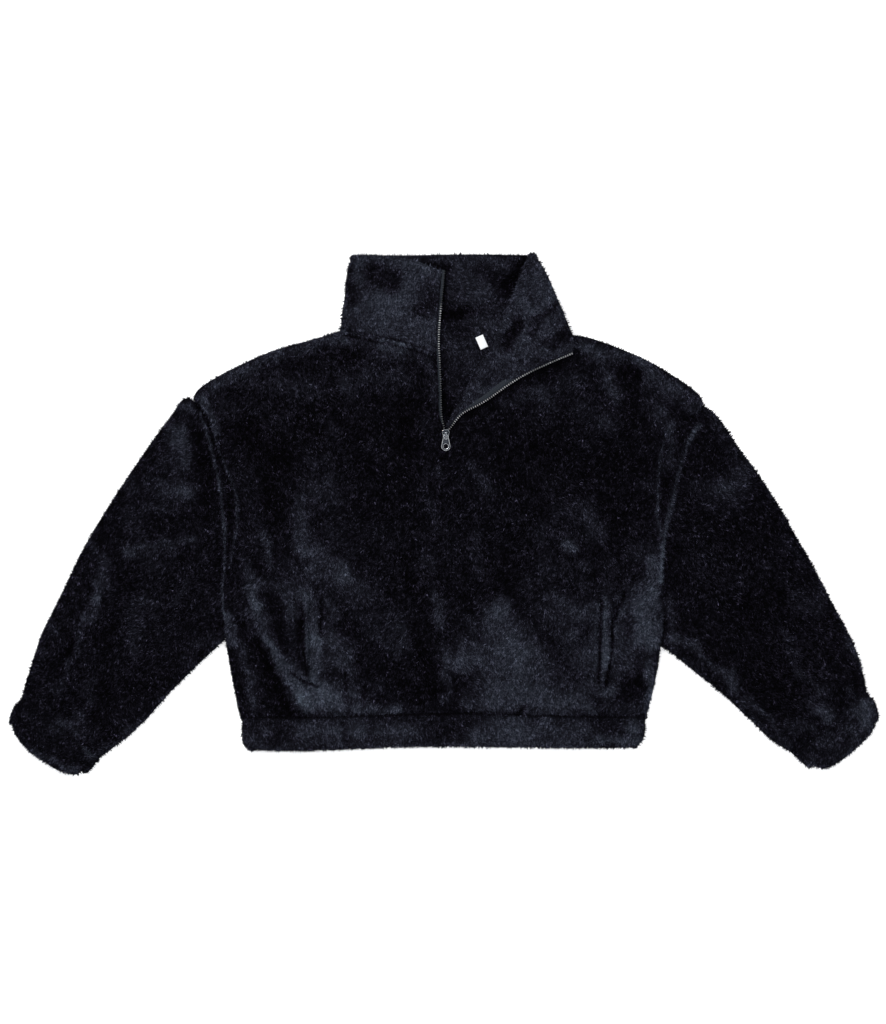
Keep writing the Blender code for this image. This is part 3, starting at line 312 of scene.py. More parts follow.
HEM_SHEEN_AND_SHADE = (
    SheenAndShade(305, 730, 336, 730, 12, 0.42), SheenAndShade(356, 730, 364, 730, 10, 0.39), SheenAndShade(380, 729, 410, 731, 11, 0.31),
    SheenAndShade(466, 737, 476, 737, 8, 0.28), SheenAndShade(486, 730, 570, 729, 15, 0.38), SheenAndShade(600, 739, 636, 741, 6, 0.39),
    SheenAndShade(634, 724, 637, 728, 8, 0.44), SheenAndShade(254, 737, 260, 738, 8, 0.22), SheenAndShade(262, 724, 268, 728, 6, 0.17),
    SheenAndShade(250, 746, 640, 743, 4, 0.22), SheenAndShade(604, 724, 606, 734, 8, -0.17), SheenAndShade(440, 724, 456, 730, 16, -0.03),
    SheenAndShade(344, 722, 346, 742, 3, -0.2), SheenAndShade(372, 722, 370, 740, 4, -0.14), SheenAndShade(628, 724, 632, 728, 6, 0.3),
    SheenAndShade(584, 724, 596, 732, 8, 0.22),
)
ARM_SHEEN_AND_SHADE_RIGHT = (
    SheenAndShade(174, 430, 186, 458, 11, 0.53), SheenAndShade(180, 438, 184, 442, 8, 0.25), SheenAndShade(182, 484, 186, 490, 8, 0.44),
    SheenAndShade(150, 480, 190, 497, 10, 0.31), SheenAndShade(130, 514, 136, 526, 12, 0.25), SheenAndShade(129, 549, 133, 554, 7, 0.44),
    SheenAndShade(142, 546, 196, 538, 5, 0.35), SheenAndShade(200, 530, 220, 530, 10, 0.12), SheenAndShade(106, 560, 97, 598, 7, 0.44),
    SheenAndShade(96, 600, 90, 616, 6, 0.38), SheenAndShade(86, 618, 62, 690, 4.5, 0.32), SheenAndShade(55, 688, 57, 692, 5, 0.31),
    SheenAndShade(136, 604, 136, 650, 8, 0.31), SheenAndShade(148, 594, 154, 598, 10, 0.15), SheenAndShade(190, 580, 178, 602, 4, 0.31),
    SheenAndShade(92, 680, 90, 700, 6, 0.28), SheenAndShade(80, 713, 82, 718, 6, 0.38), SheenAndShade(102, 752, 165, 702, 5, 0.38),
    SheenAndShade(165, 702, 226, 641, 5, 0.4), SheenAndShade(198, 644, 214, 640, 8, 0.31), SheenAndShade(170, 400, 184, 408, 8, 0.28),
    SheenAndShade(45, 650, 26, 700, 4, 0.19), SheenAndShade(186, 404, 194, 410, 4, 0.38), SheenAndShade(194, 436, 212, 500, 9, -0.25),
    SheenAndShade(72, 640, 66, 655, 4, -0.2), SheenAndShade(110, 610, 104, 700, 10, -0.06), SheenAndShade(164, 462, 176, 470, 9, 0.28),
    SheenAndShade(128, 478, 134, 490, 8, 0.32), SheenAndShade(148, 504, 172, 506, 8, 0.25), SheenAndShade(92, 540, 96, 552, 5, 0.25),
    SheenAndShade(126, 544, 156, 566, 8, 0.2), SheenAndShade(48, 620, 54, 632, 6, 0.3), SheenAndShade(105, 684, 150, 690, 10, -0.12),
    SheenAndShade(64, 722, 76, 730, 7, 0.35), SheenAndShade(66, 628, 72, 650, 5, -0.2), SheenAndShade(102, 716, 112, 736, 7, -0.15),
    SheenAndShade(84, 580, 92, 592, 5, -0.15), SheenAndShade(124, 580, 136, 592, 7, -0.15), SheenAndShade(68, 720, 90, 734, 7, 0.2),
    SheenAndShade(206, 460, 214, 474, 6, -0.2), SheenAndShade(84, 540, 94, 552, 6, 0.22), SheenAndShade(146, 540, 156, 552, 7, 0.25),
    SheenAndShade(146, 600, 156, 612, 7, 0.25), SheenAndShade(186, 660, 196, 670, 6, 0.22), SheenAndShade(164, 484, 174, 492, 7, 0.25),
    SheenAndShade(164, 540, 176, 550, 7, 0.25), SheenAndShade(26, 680, 32, 692, 5, -0.2),
)
ARM_SHEEN_AND_SHADE_LEFT = (
    SheenAndShade(742, 470, 734, 490, 13, 0.38), SheenAndShade(718, 484, 724, 490, 8, 0.25), SheenAndShade(744, 452, 750, 460, 8, 0.25),
    SheenAndShade(705, 560, 740, 580, 14, 0.15), SheenAndShade(796, 598, 814, 606, 10, 0.31), SheenAndShade(816, 588, 822, 592, 8, 0.15),
    SheenAndShade(784, 634, 799, 674, 5, 0.31), SheenAndShade(800, 675, 816, 692, 5, 0.25), SheenAndShade(824, 708, 832, 720, 8, 0.53),
    SheenAndShade(818, 688, 824, 694, 8, 0.25), SheenAndShade(848, 688, 856, 702, 5, 0.28), SheenAndShade(676, 636, 698, 650, 6, 0.5),
    SheenAndShade(700, 656, 722, 668, 3.5, 0.4), SheenAndShade(729, 673, 735, 688, 7, 0.62), SheenAndShade(744, 699, 760, 711, 6, 0.44),
    SheenAndShade(762, 716, 786, 741, 5, 0.28), SheenAndShade(668, 650, 792, 753, 4, 0.28), SheenAndShade(706, 406, 742, 448, 5, 0.31),
    SheenAndShade(762, 482, 802, 542, 5, 0.19), SheenAndShade(822, 572, 860, 670, 4, 0.35), SheenAndShade(708, 412, 716, 430, 6, 0.19),
    SheenAndShade(686, 438, 680, 492, 8, -0.12), SheenAndShade(738, 692, 772, 732, 3, -0.15), SheenAndShade(726, 440, 734, 452, 9, 0.25),
    SheenAndShade(690, 484, 716, 490, 10, 0.28), SheenAndShade(706, 504, 734, 508, 9, 0.24), SheenAndShade(667, 596, 672, 636, 6, 0.35),
    SheenAndShade(846, 640, 856, 652, 6, 0.25), SheenAndShade(686, 660, 694, 668, 5, 0.3), SheenAndShade(744, 702, 774, 722, 5, 0.3),
    SheenAndShade(806, 700, 816, 712, 7, 0.35), SheenAndShade(786, 724, 812, 728, 6, 0.3), SheenAndShade(750, 596, 772, 606, 12, -0.12),
    SheenAndShade(672, 430, 667, 476, 5.5, 0.55), SheenAndShade(692, 422, 684, 440, 5, 0.3), SheenAndShade(668, 638, 674, 650, 5, 0.25),
    SheenAndShade(664, 540, 676, 552, 6, -0.25), SheenAndShade(784, 540, 796, 552, 7, 0.25), SheenAndShade(764, 582, 776, 592, 8, -0.2),
    SheenAndShade(744, 600, 756, 630, 8, -0.18), SheenAndShade(702, 660, 714, 668, 6, 0.25),
)
CUFF_SHEEN_AND_SHADE = (
    SheenAndShade(58, 730, 63, 734, 7, 0.26), SheenAndShade(92, 742, 98, 748, 9, 0.36), SheenAndShade(30, 750, 84, 773, 4, 0.42),
    SheenAndShade(14, 708, 10, 722, 4, 0.18), SheenAndShade(864, 704, 868, 720, 9, 0.54), SheenAndShade(848, 728, 854, 732, 8, 0.3),
    SheenAndShade(810, 762, 816, 765, 6, 0.36), SheenAndShade(822, 742, 834, 738, 8, 0.14), SheenAndShade(872, 728, 842, 757, 4, 0.24),
    SheenAndShade(86, 742, 94, 750, 7, 0.32), SheenAndShade(846, 704, 854, 712, 6, 0.2), SheenAndShade(24, 722, 36, 734, 8, -0.12),
    SheenAndShade(84, 740, 96, 752, 7, 0.2), SheenAndShade(84, 742, 96, 748, 7, 0.22), SheenAndShade(84, 742, 96, 749, 7, 0.2),
)
COLLAR_SHEEN_AND_SHADE = (
    SheenAndShade(374, 274, 392, 282, 11, -0.6), SheenAndShade(362, 288, 368, 290, 8, -0.22), SheenAndShade(424, 308, 433, 300, 9, -0.45),
    SheenAndShade(345, 324, 352, 328, 6, -0.2), SheenAndShade(350, 262, 348, 300, 5, -0.12), SheenAndShade(420, 290, 436, 284, 7, -0.15),
    SheenAndShade(400, 300, 380, 318, 14, 0.12), SheenAndShade(412, 262, 428, 268, 5, 0.1), SheenAndShade(347, 275, 350, 298, 8, -0.4),
)
COLLAR_INNER_SHEEN_AND_SHADE = (
    SheenAndShade(483, 270, 500, 284, 9, -0.3), SheenAndShade(508, 288, 526, 262, 8, -0.6), SheenAndShade(470, 261, 500, 260, 5, 0.08),
    SheenAndShade(424, 262, 444, 267, 5, -0.6), SheenAndShade(444, 316, 466, 312, 7, -0.55), SheenAndShade(445, 300, 444, 276, 4, -0.3),
    SheenAndShade(480, 306, 474, 314, 6, -0.3), SheenAndShade(484, 286, 494, 290, 7, 0.12), SheenAndShade(486, 312, 500, 300, 6, -0.15),
    SheenAndShade(446, 318, 462, 330, 9, -0.2), SheenAndShade(446, 300, 456, 312, 8, -0.25),
)
NECK_SHEEN_AND_SHADE = (
    SheenAndShade(455, 372, 458, 380, 8, -0.12), SheenAndShade(446, 400, 452, 426, 6, -0.3), SheenAndShade(444, 350, 443, 390, 3, -0.3),
    SheenAndShade(470, 356, 478, 368, 8, 0.05), SheenAndShade(448, 396, 454, 416, 7, -0.2), SheenAndShade(446, 398, 454, 414, 7, -0.25),
)
TURNED_SHEEN_AND_SHADE = (
    SheenAndShade(505, 346, 516, 324, 7, -0.7), SheenAndShade(530, 332, 541, 317, 5, -0.28), SheenAndShade(553, 348, 566, 335, 6, -0.4),
    SheenAndShade(545, 313, 556, 307, 4, -0.3), SheenAndShade(542, 280, 550, 300, 12, 0.15), SheenAndShade(516, 272, 500, 306, 4, -0.3),
    SheenAndShade(564, 312, 570, 330, 4, -0.1), SheenAndShade(525, 350, 545, 352, 6, 0.1), SheenAndShade(500, 304, 488, 318, 5, -0.25),
    SheenAndShade(520, 322, 526, 340, 4, 0.15), SheenAndShade(485, 385, 530, 362, 14, -0.1), SheenAndShade(524, 300, 536, 312, 8, 0.16),
    SheenAndShade(484, 388, 496, 394, 6, 0.2),
)

# Sewing and seam edges, in the picture's pixels: a line through the points, its reach, its lift of the
# level (painted light on a seam's ridge and painted shade in its groove), and the millimetres that it raises
# the cloth
Seam = namedtuple("Seam", "points reach lift rise")
HEM_LINE = ((243, 716.6), (312, 717.3), (391, 714.4), (470, 712.7), (550, 715.6), (646, 717))
BODY_SEAMS = (
    Seam(((197, 403), (203, 412), (210, 427), (214, 440)), 1.4, -0.9, -0.6),
    Seam(((201, 412), (207, 430), (214, 455), (219, 480), (222, 502), (225, 530), (226, 558), (223, 590),
          (224, 612)), 1.5, 0.62, 0.3),
    Seam(((214, 433), (222, 455), (230, 475), (236, 495), (238, 520), (234, 545), (230, 566)),
         1.4, 0.5, 0.3),
    Seam(((215, 445), (224, 470), (229, 490), (231, 515), (230, 545)), 3.0, -0.25, -0.5),
    Seam(((699, 424), (688, 440), (681, 460), (676, 480), (671, 502), (666, 525), (662, 546), (661, 580)),
         2.8, 0.7, 0.4),
    Seam(((664, 440), (660, 455), (658, 480), (657, 510), (660, 535)), 1.5, 0.6, 0.3),
    Seam(((672, 450), (667, 475), (664, 500), (662, 520)), 3.0, -0.15, -0.5),
    Seam(((343, 331), (371, 337), (402, 343), (432, 353)), 1.5, 0.45, 0.4),
    Seam(((343, 334.5), (371, 340.5), (402, 346.5), (432, 356)), 0.8, -0.4, -0.3),
    Seam(((602, 600), (600, 640), (598, 682)), 1.5, -0.8, -0.6),
    Seam(((626, 590), (617, 610), (612, 625), (611, 650), (608, 670), (605, 684)), 1.5, -0.8, -0.5),
    Seam(((292, 672), (300, 678), (308, 682), (318, 685)), 1.3, -0.8, -0.5),
    Seam(((302, 606), (304, 650), (307, 674)), 1.5, -0.6, -0.4),
    Seam(((321, 596), (321, 620), (321, 636)), 1.4, -0.45, -0.2),
    Seam(((258, 640), (268, 664), (279, 688), (292, 714)), 3.4, -0.5, -0.4),
    Seam(((480, 606), (479, 640)), 2.4, -0.3, -0.2),
    Seam(HEM_LINE, 0.9, -0.6, 0.0),
)
HEM_SEAMS = (
    Seam(HEM_LINE, 0.9, -0.6, 0.0),
)
COLLAR_SEAMS = (
    Seam(((342, 328), (371, 334.5), (402, 340.5), (432, 351)), 0.8, -0.4, -0.3),
)
TURNED_SEAMS = (
    Seam(((521, 322), (536, 316), (555, 311)), 1.6, -0.25, -0.4),
    Seam(((538, 347), (548, 340), (563, 332)), 1.6, -0.25, -0.4),
)


# The two rows of teeth, in millimetres: points with their heights, from the collar's top to the slider
# on the wearer's right, and from the slider to the collar's top on the left
TEETH_PITCH = 3.0
TEETH_RIGHT = (
    (1.4, 313, 9.8), (-0.6, 289, 9.8), (-3.6, 262, 9.8), (-5.4, 240, 9.8), (-6.0, 221, 9.7),
    (-5.4, 206, 9.5), (-3.6, 169, 9.4), (-2.6, 130, 9.3), (0.6, 112, 9.3), (1.8, 107.5, 9.3))
TEETH_LEFT = (
    (4.4, 107.5, 9.4), (9.6, 112.5, 11.6), (16, 121, 14.4), (27, 131.5, 15.0), (53, 145.2, 15.0),
    (80.5, 164.6, 15.3), (104, 179, 16.4), (130, 191.5, 16.4), (157, 203, 16.4), (166.4, 206.8, 16.4))


# Shape functions
def unit(vectors):
    """Vectors divided by their lengths."""
    return vectors / np.maximum(np.linalg.norm(vectors, axis=-1, keepdims=True), TINY)


def curve(points):
    """Smooth curve (Catmull-Rom) through the points, as a function of its length share, 0 to 1.

    Between two points it is the cubic whose slope at each is half the step between the points beside
    it.  It is worked out at 12 places in each span, and read along its running length.
    """
    p = np.asarray(points, float)
    ends = np.vstack([2 * p[0] - p[1], p, 2 * p[-1] - p[-2]])
    a, b, c, d = ends[:-3], ends[1:-2], ends[2:-1], ends[3:]
    t = np.linspace(0, 1, 12, endpoint=False)[:, None, None]
    dense = 0.5 * (2 * b + (c - a) * t + (2 * a - 5 * b + 4 * c - d) * t**2 + (3 * b - a - 3 * c + d) * t**3)
    dense = np.vstack([dense.transpose(1, 0, 2).reshape(-1, p.shape[1]), p[-1]])
    run = np.concatenate([[0], np.cumsum(np.linalg.norm(np.diff(dense, axis=0), axis=1))])

    def at(share):
        """Points of the curve at these shares of its length."""
        s = np.asarray(share, float) * run[-1]
        return np.stack([np.interp(s, run, column) for column in dense.T], -1)

    at.length = run[-1]
    at.knots = (0.0, 1.0)
    return at


def chain(*parts):
    """Curves one after another as one function; its knots are where they meet."""
    length = sum(part.length for part in parts)
    knots = np.concatenate([[0], np.cumsum([part.length / length for part in parts])])

    def at(share):
        """Points of the chain at these shares: the part between whose knots each share lies."""
        share = np.asarray(share, float)
        out = np.zeros(share.shape + (2,))
        for k, part in enumerate(parts):
            last = k == len(parts) - 1
            inside = (share >= knots[k]) & ((share <= 1) if last else (share < knots[k + 1]))
            out[inside] = part((share[inside] - knots[k]) / (knots[k + 1] - knots[k]))
        return out

    at.length = length
    at.knots = tuple(knots)
    return at


def stretch(whole, start, end):
    """The stretch of a curve between two length shares."""
    def at(share):
        """Points of the whole curve at the shares between the two ends."""
        return whole(start + (end - start) * np.asarray(share, float))

    at.length = whole.length * (end - start)
    at.knots = (0.0, 1.0)
    return at


def stations(length, step, knots=(0.0, 1.0), rims=(0.0, 1.0)):
    """Length shares at even steps between the knots, with two closer ones beside each rim.

    Those lie at a third and at the whole of the rim's width, and even ones too near a rim give way.
    """
    near, far = 0.3 * RIM / length, RIM / length
    marks = set(knots)
    for start, end in zip(knots[:-1], knots[1:]):
        count = max(1, round((end - start) * length / step))
        marks.update(start + (end - start) * np.arange(1, count) / count)
    for rim in rims:
        marks = {m for m in marks if m in knots or abs(m - rim) > 1.7 * far}
        beside = (rim - far, rim - near, rim + near, rim + far)
        marks.update(m for m in beside if 0 < m < 1)
    return np.array(sorted(marks))


def patch(bottom, top, left, right, across, up):
    """Coons patch: rows of plan points that blend the four edge curves.

    It is the blend of bottom and top, plus the blend of left and right, less the blend of the corners.
    """
    s = across[None, :, None]
    t = up[:, None, None]
    b, u = bottom(across)[None], top(across)[None]
    le, ri = left(up)[:, None], right(up)[:, None]
    corners = (1 - t) * ((1 - s) * b[:, :1] + s * b[:, -1:]) + t * ((1 - s) * u[:, :1] + s * u[:, -1:])
    return (1 - t) * b + t * u + (1 - s) * le + s * ri - corners


def from_line(plan, x0, y0, x1, y1):
    """Distance of plan points from the line between two points."""
    start, along = np.array([x0, y0], float), np.array([x1 - x0, y1 - y0], float)
    share = np.clip(((plan - start) @ along) / max(along @ along, TINY), 0, 1)
    return np.linalg.norm(plan - start - share[..., None] * along, axis=-1)


def relief(plan, folds):
    """Height of the folds over plan points: each is a bell across its line, rounded at its ends.

    A bell is the fold's rise times e to the minus square of the distance from its line over its width.
    """
    height = np.zeros(plan.shape[:-1])
    for f in folds:
        height += f.rise * np.exp(-((from_line(plan, *f[:4]) / f.width) ** 2))
    return height


def picture(plan):
    """Plan millimetres as the picture's pixels."""
    return np.stack([PICTURE_MIDDLE[0] + plan[..., 0] / PIXEL, PICTURE_MIDDLE[1] - plan[..., 1] / PIXEL], -1)


def seam_bells(seen, seams):
    """For each seam, a bell across its line at the picture points, and the seam itself."""
    for seam in seams:
        nearest = np.full(seen.shape[:-1], FAR)
        for start, end in zip(seam.points[:-1], seam.points[1:]):
            nearest = np.minimum(nearest, from_line(seen, *start, *end))
        yield np.exp(-((nearest / seam.reach) ** 2)), seam


def raised(plan, z):
    """Plan points given their heights, one for all or one each."""
    return np.concatenate([plan, np.broadcast_to(np.asarray(z, float), plan.shape[:-1])[..., None]], -1)


LATTICE = np.random.default_rng(7).random((8, 256, 256))


def noise(plan, size, layer):
    """Soft random field, -1 to 1: random values on a lattice of this size, blended smoothly.

    Each cell blends its four corners' values by 3 t squared less 2 t cubed, where t is the way across.
    """
    p = plan / size + 31.7 * (layer + 1)
    cell = np.floor(p).astype(int)
    t = p - cell
    t = t * t * (3 - 2 * t)
    x, y = cell[..., 0] % 256, cell[..., 1] % 256
    x1, y1 = (x + 1) % 256, (y + 1) % 256
    grid = LATTICE[layer]
    low = grid[x, y] * (1 - t[..., 0]) + grid[x1, y] * t[..., 0]
    high = grid[x, y1] * (1 - t[..., 0]) + grid[x1, y1] * t[..., 0]
    return 2 * (low * (1 - t[..., 1]) + high * t[..., 1]) - 1


def front_height(plan):
    """Middle of the front's wall: level over the back, with its folds, seam edges and small dents."""
    height = np.maximum(relief(plan, FRONT_FOLDS), DEEPEST_FRONT_DIP)
    for bell, seam in seam_bells(picture(plan), BODY_SEAMS):
        height += seam.rise * bell
    return FRONT_MID + height + BROAD_DENT * noise(plan, 26.0, 3) + SMALL_DENT * noise(plan, 11.0, 4)


# Meshes
WELD_DISTANCE = 0.02


def weld(grids):
    """Points and triangles of several grids, with points that lie together made one.

    Points are alike where they round to the same multiple of the weld distance.  Triangles that lose
    a corner by it are left out.
    """
    points = np.concatenate([g.reshape(-1, 3) for g in grids])
    quads, first = [], 0
    for g in grids:
        k = first + np.arange(g.shape[0] * g.shape[1]).reshape(g.shape[:2])
        quads.append(np.stack([k[:-1, :-1], k[:-1, 1:], k[1:, 1:], k[1:, :-1]], -1).reshape(-1, 4))
        first += k.size
    keys = np.round(points / WELD_DISTANCE).astype(np.int64)
    _, index, inverse = np.unique(keys, axis=0, return_index=True, return_inverse=True)
    quads = inverse.reshape(-1)[np.concatenate(quads)]
    tris = np.concatenate([quads[:, [0, 1, 2]], quads[:, [0, 2, 3]]])
    whole = (tris[:, 0] != tris[:, 1]) & (tris[:, 1] != tris[:, 2]) & (tris[:, 2] != tris[:, 0])
    return points[index], tris[whole]


def point_normals(points, tris):
    """Normals at the points: the sum of the normals of the triangles around each."""
    a, b, c = points[tris[:, 0]], points[tris[:, 1]], points[tris[:, 2]]
    face = np.cross(b - a, c - a)
    total = np.stack([np.bincount(tris.ravel(), np.repeat(face[:, k], 3), len(points)) for k in range(3)], 1)
    return unit(total)


def rim_falloff(points, tris, rim):
    """1 inside the cloth, falling to 0 at its boundary as a quarter of an ellipse; and the boundary.

    The boundary's edges are those that one triangle alone uses.  With the distance from them over the
    rim's width as u, at most 1, the share is the root of 1 less the square of 1 less u.
    """
    edges = np.sort(np.concatenate([tris[:, [0, 1]], tris[:, [1, 2]], tris[:, [2, 0]]]), 1)
    pairs, uses = np.unique(edges, axis=0, return_counts=True)
    pairs = pairs[uses == 1]
    start, along = points[pairs[:, 0]], points[pairs[:, 1]] - points[pairs[:, 0]]
    length2 = np.maximum((along**2).sum(1), TINY_SQUARE)
    away = np.full(len(points), rim)
    batch = 3000
    for first in range(0, len(points), batch):
        block = points[first:first + batch, None] - start[None]
        share = np.clip((block * along).sum(2) / length2, 0, 1)
        away[first:first + batch] = np.linalg.norm(block - share[..., None] * along, axis=2).min(1)
    on_rim = np.zeros(len(points), bool)
    on_rim[pairs.ravel()] = True
    return np.sqrt(1 - (1 - np.minimum(away / rim, 1)) ** 2), on_rim


Cloth = namedtuple("Cloth", "points tris normals face")


def wall(grids, half, rim=RIM):
    """Closed wall round the welded middle surface, half to each side, rounded at its boundary.

    Each point moves both ways along its normal by half times the rim's falloff, so both sides meet at
    the boundary.  The triangles are turned over if the volume that they enclose comes out negative.
    face tells the side that the middle surface's own normals point to (1) from the other (-1).
    """
    middle, tris = weld(grids)
    normals = point_normals(middle, tris)
    fall, on_rim = rim_falloff(middle, tris, rim)
    offset = normals * (half * fall)[:, None]
    inner_index = np.where(on_rim, np.arange(len(middle)), len(middle) + np.cumsum(~on_rim) - 1)
    points = np.concatenate([middle + offset, (middle - offset)[~on_rim]])
    both = np.concatenate([tris, inner_index[tris][:, ::-1]])
    face = np.concatenate([np.ones(len(tris)), -np.ones(len(tris))])
    a, b, c = (points[both[:, k]] for k in range(3))
    if (np.cross(a, b) * c).sum() < 0:
        both = both[:, ::-1]
    return Cloth(points, both, point_normals(points, both), face)


def mesh_object(name, points, tris, material, colours=None, smooth=True):
    """An object at the origin from points in millimetres and triangles, with the colours it carries."""
    mesh = bpy.data.meshes.new(name)
    mesh.vertices.add(len(points))
    mesh.vertices.foreach_set("co", ((points - ORIGIN) * MM).astype(np.float32).ravel())
    mesh.loops.add(tris.size)
    mesh.loops.foreach_set("vertex_index", tris.astype(np.int32).ravel())
    mesh.polygons.add(len(tris))
    mesh.polygons.foreach_set("loop_start", np.arange(0, tris.size, 3, dtype=np.int32))
    mesh.update(calc_edges=True)
    if smooth:
        mesh.shade_smooth()
    if colours is not None:
        layer = mesh.attributes.new("pile", "FLOAT_COLOR", "POINT")
        layer.data.foreach_set("color", colours.astype(np.float32).ravel())
    mesh.materials.append(material)
    obj = bpy.data.objects.new(name, mesh)
    bpy.context.collection.objects.link(obj)
    return obj


# Pile: its darkest and lightest colour, between which its painted sheen and shade run, and how the
# streaks of painted sheen and shade get their ragged edges
DARK = np.array([0.0027, 0.0024, 0.0040])
LIGHT = np.array([0.0680, 0.0800, 0.1080])
WARP = 3.2
FINE_STREAK = 3.2
LEVEL_RANGE = (-0.35, 1.25)

# Soft random changes of the nap's level: how strong, how large in millimetres, and the lattice's layer
NAP_CHANGES = ((0.10, 40.0, 6), (0.07, 9.0, 1), (0.05, 4.5, 7))

# Blades, in millimetres: the tufts' spacing, how far soft noise bends their lattice, the share of the way
# to a tuft's middle that tips move, the roots' depth in the backing, the least heights over the surface
# that the garment lies on, and the shades of a blade's two root corners and its tip: painted shade at the
# roots and painted sheen at the tip
TUFT = 3.1
TUFT_SWAY = 1.3
GATHER = 0.55
ROOT_DEPTH = 0.25
LEAST_HEIGHT = 0.08
LEAST_ROOT = 0.1
LEAST_TIP = 0.15
BLADE_SHADES = (0.45, 0.45, 1.25)

# How blades stand: the degrees by which soft noise turns their heading (with its size and layer), the
# degrees by which tufts differ, and the random turn of single blades in radians.  Then their lean along
# the heading, their random scatter, and their random twist
HEADING_CHANGES = ((45, 70.0, 0), (40, 17.0, 5))
TUFT_TURN = 70
BLADE_TURN = 0.35
LEAN = 0.85
SCATTER = 0.16
TWIST = 0.45

# How much blades differ in shade: with soft noise (strength, size, layer), by tufts, and one by one
SHADE_CHANGES = ((0.8, 2.1, 2), (0.5, 3.7, 3))
TUFT_SHADE = 0.5
BLADE_SHADE = 0.65

# How much of its length the pile keeps right beside each row of teeth, where that starts, over what
# distance it grows back, and how far from a row's first tooth the zip reaches
HELD_DOWN = ((TEETH_RIGHT, 0.6), (TEETH_LEFT, 0.3))
HELD_FROM = 3.0
HELD_OVER = 9.0
ZIP_SPAN = 250.0

# Hairs round the outline, in millimetres: their spacing, their least and greatest reach from a seamed
# edge and from a folded one, their half widths, how far inside the edge they start, their random turn
# and rise, the shades of root and tip (painted shade at the root, painted sheen at the tip), how much
# they differ in shade, and their share of the level
FRINGE_PITCH = 3.4
FRINGE_REACH = (0.8, 3.7)
FOLD_FRINGE_REACH = (2.0, 5.0)
FRINGE_HALF_WIDTH = (0.9, 1.5)
FRINGE_DEPTH = 1.2
FRINGE_TURN = 0.3
FRINGE_RISE = 0.25
FRINGE_SHADES = (0.5, 0.5, 1.1)
FRINGE_SHADE = 0.6
FRINGE_LEVEL = 0.8


def sheen_and_shade_level(plan, painted_streaks, seams, base):
    """How light the pile is, 0 to 1 and beyond: its layer's base, streaks of painted sheen and shade with
    ragged edges, and painted light and shade along seams.

    A streak's share is its lift times e to the minus cube of the distance from its line over its
    reach.  Light streaks close the gap that is left to full light, one after another, and dark ones
    add up.  All but the finest are read at places that soft noise has moved, so their edges wander.
    """
    seen = picture(plan)
    wander = np.stack([noise(plan, 15.0, broad) + 0.6 * noise(plan, 6.0, fine)
                       for broad, fine in ((0, 1), (2, 5))], -1)
    ragged = seen + WARP * wander
    dull, deep = np.full(len(plan), 1.0), np.zeros(len(plan))
    for n in painted_streaks:
        away = from_line(ragged if n.reach > FINE_STREAK else seen, *n[:4])
        streak = n.lift * np.exp(-((away / n.reach) ** 3))
        if n.lift > 0:
            dull *= 1 - streak
        else:
            deep += streak
    level = base + (1.0 - dull) + deep
    for bell, seam in seam_bells(seen, seams):
        level += seam.lift * bell
    level += sum(strength * noise(plan, size, layer) for strength, size, layer in NAP_CHANGES)
    return np.clip(level, *LEVEL_RANGE)


def pile_colour(level, shade):
    """Colour from the level times a shade: the dark times the light-to-dark ratio to the level's power."""
    colour = DARK * (LIGHT / DARK) ** level[:, None] * shade[:, None]
    return np.concatenate([colour, np.ones((len(colour), 1))], 1)


def shorter(root):
    """Share of its length that a blade keeps: less beside the zip's edges, where the tape holds it down.

    It grows in a straight line from the least share, with the distance from the row of teeth.
    """
    share = np.ones(len(root))
    for table, least in HELD_DOWN:
        line = curve(table)(np.linspace(0, 1, 60))
        away = np.full(len(root), FAR)
        near = np.linalg.norm(root[:, :2] - line[0, :2], axis=1) < ZIP_SPAN
        for start, end in zip(line[:-1, :2], line[1:, :2]):
            away[near] = np.minimum(away[near], from_line(root[near, :2], *start, *end))
        share = np.minimum(share, np.clip(least + (away - HELD_FROM) / HELD_OVER, least, 1))
    return share


def scattered(cloth, wanted, density, rng):
    """Roots spread over a cloth's triangles by area and by how many are wanted there, and their normals.

    The running sum of the triangles' shares is read at even steps, each moved at random within its
    step.  In its triangle, a root is a random mix of the three corners.  How many are wanted is worked
    out from each triangle's middle, the way it faces, and its side of the cloth.
    """
    corners = cloth.points[cloth.tris]
    cross = np.cross(corners[:, 1] - corners[:, 0], corners[:, 2] - corners[:, 0])
    size = np.linalg.norm(cross, axis=1)
    weight = size / 2 * wanted(corners.mean(1), unit(cross), cloth.face)
    count = int(weight.sum() * density * (1.0))
    share = (np.arange(count) + rng.random(count)) / count * weight.sum()
    chosen = np.minimum(np.searchsorted(np.cumsum(weight), share), len(weight) - 1)
    a, b = rng.random(count), rng.random(count)
    flip = a + b > 1
    a[flip], b[flip] = 1 - a[flip], 1 - b[flip]
    mix = np.stack([1 - a - b, a, b], 1)[:, :, None]
    return (corners[chosen] * mix).sum(1), unit((cloth.normals[cloth.tris[chosen]] * mix).sum(1))


def tufts(plan):
    """The tuft that each root belongs to: its four own random values, and the way to its middle.

    Tufts are the cells of a square lattice that soft noise has bent.
    """
    bent = plan + TUFT_SWAY * np.stack([noise(plan, 5.0, 6), noise(plan, 5.0, 7)], -1)
    cell = np.floor(bent / TUFT)
    gather = GATHER * TUFT * (cell + 0.5 - bent / TUFT)
    cell = cell.astype(int) % 256
    return [LATTICE[k][cell[:, 0], cell[:, 1]] for k in range(4)], gather


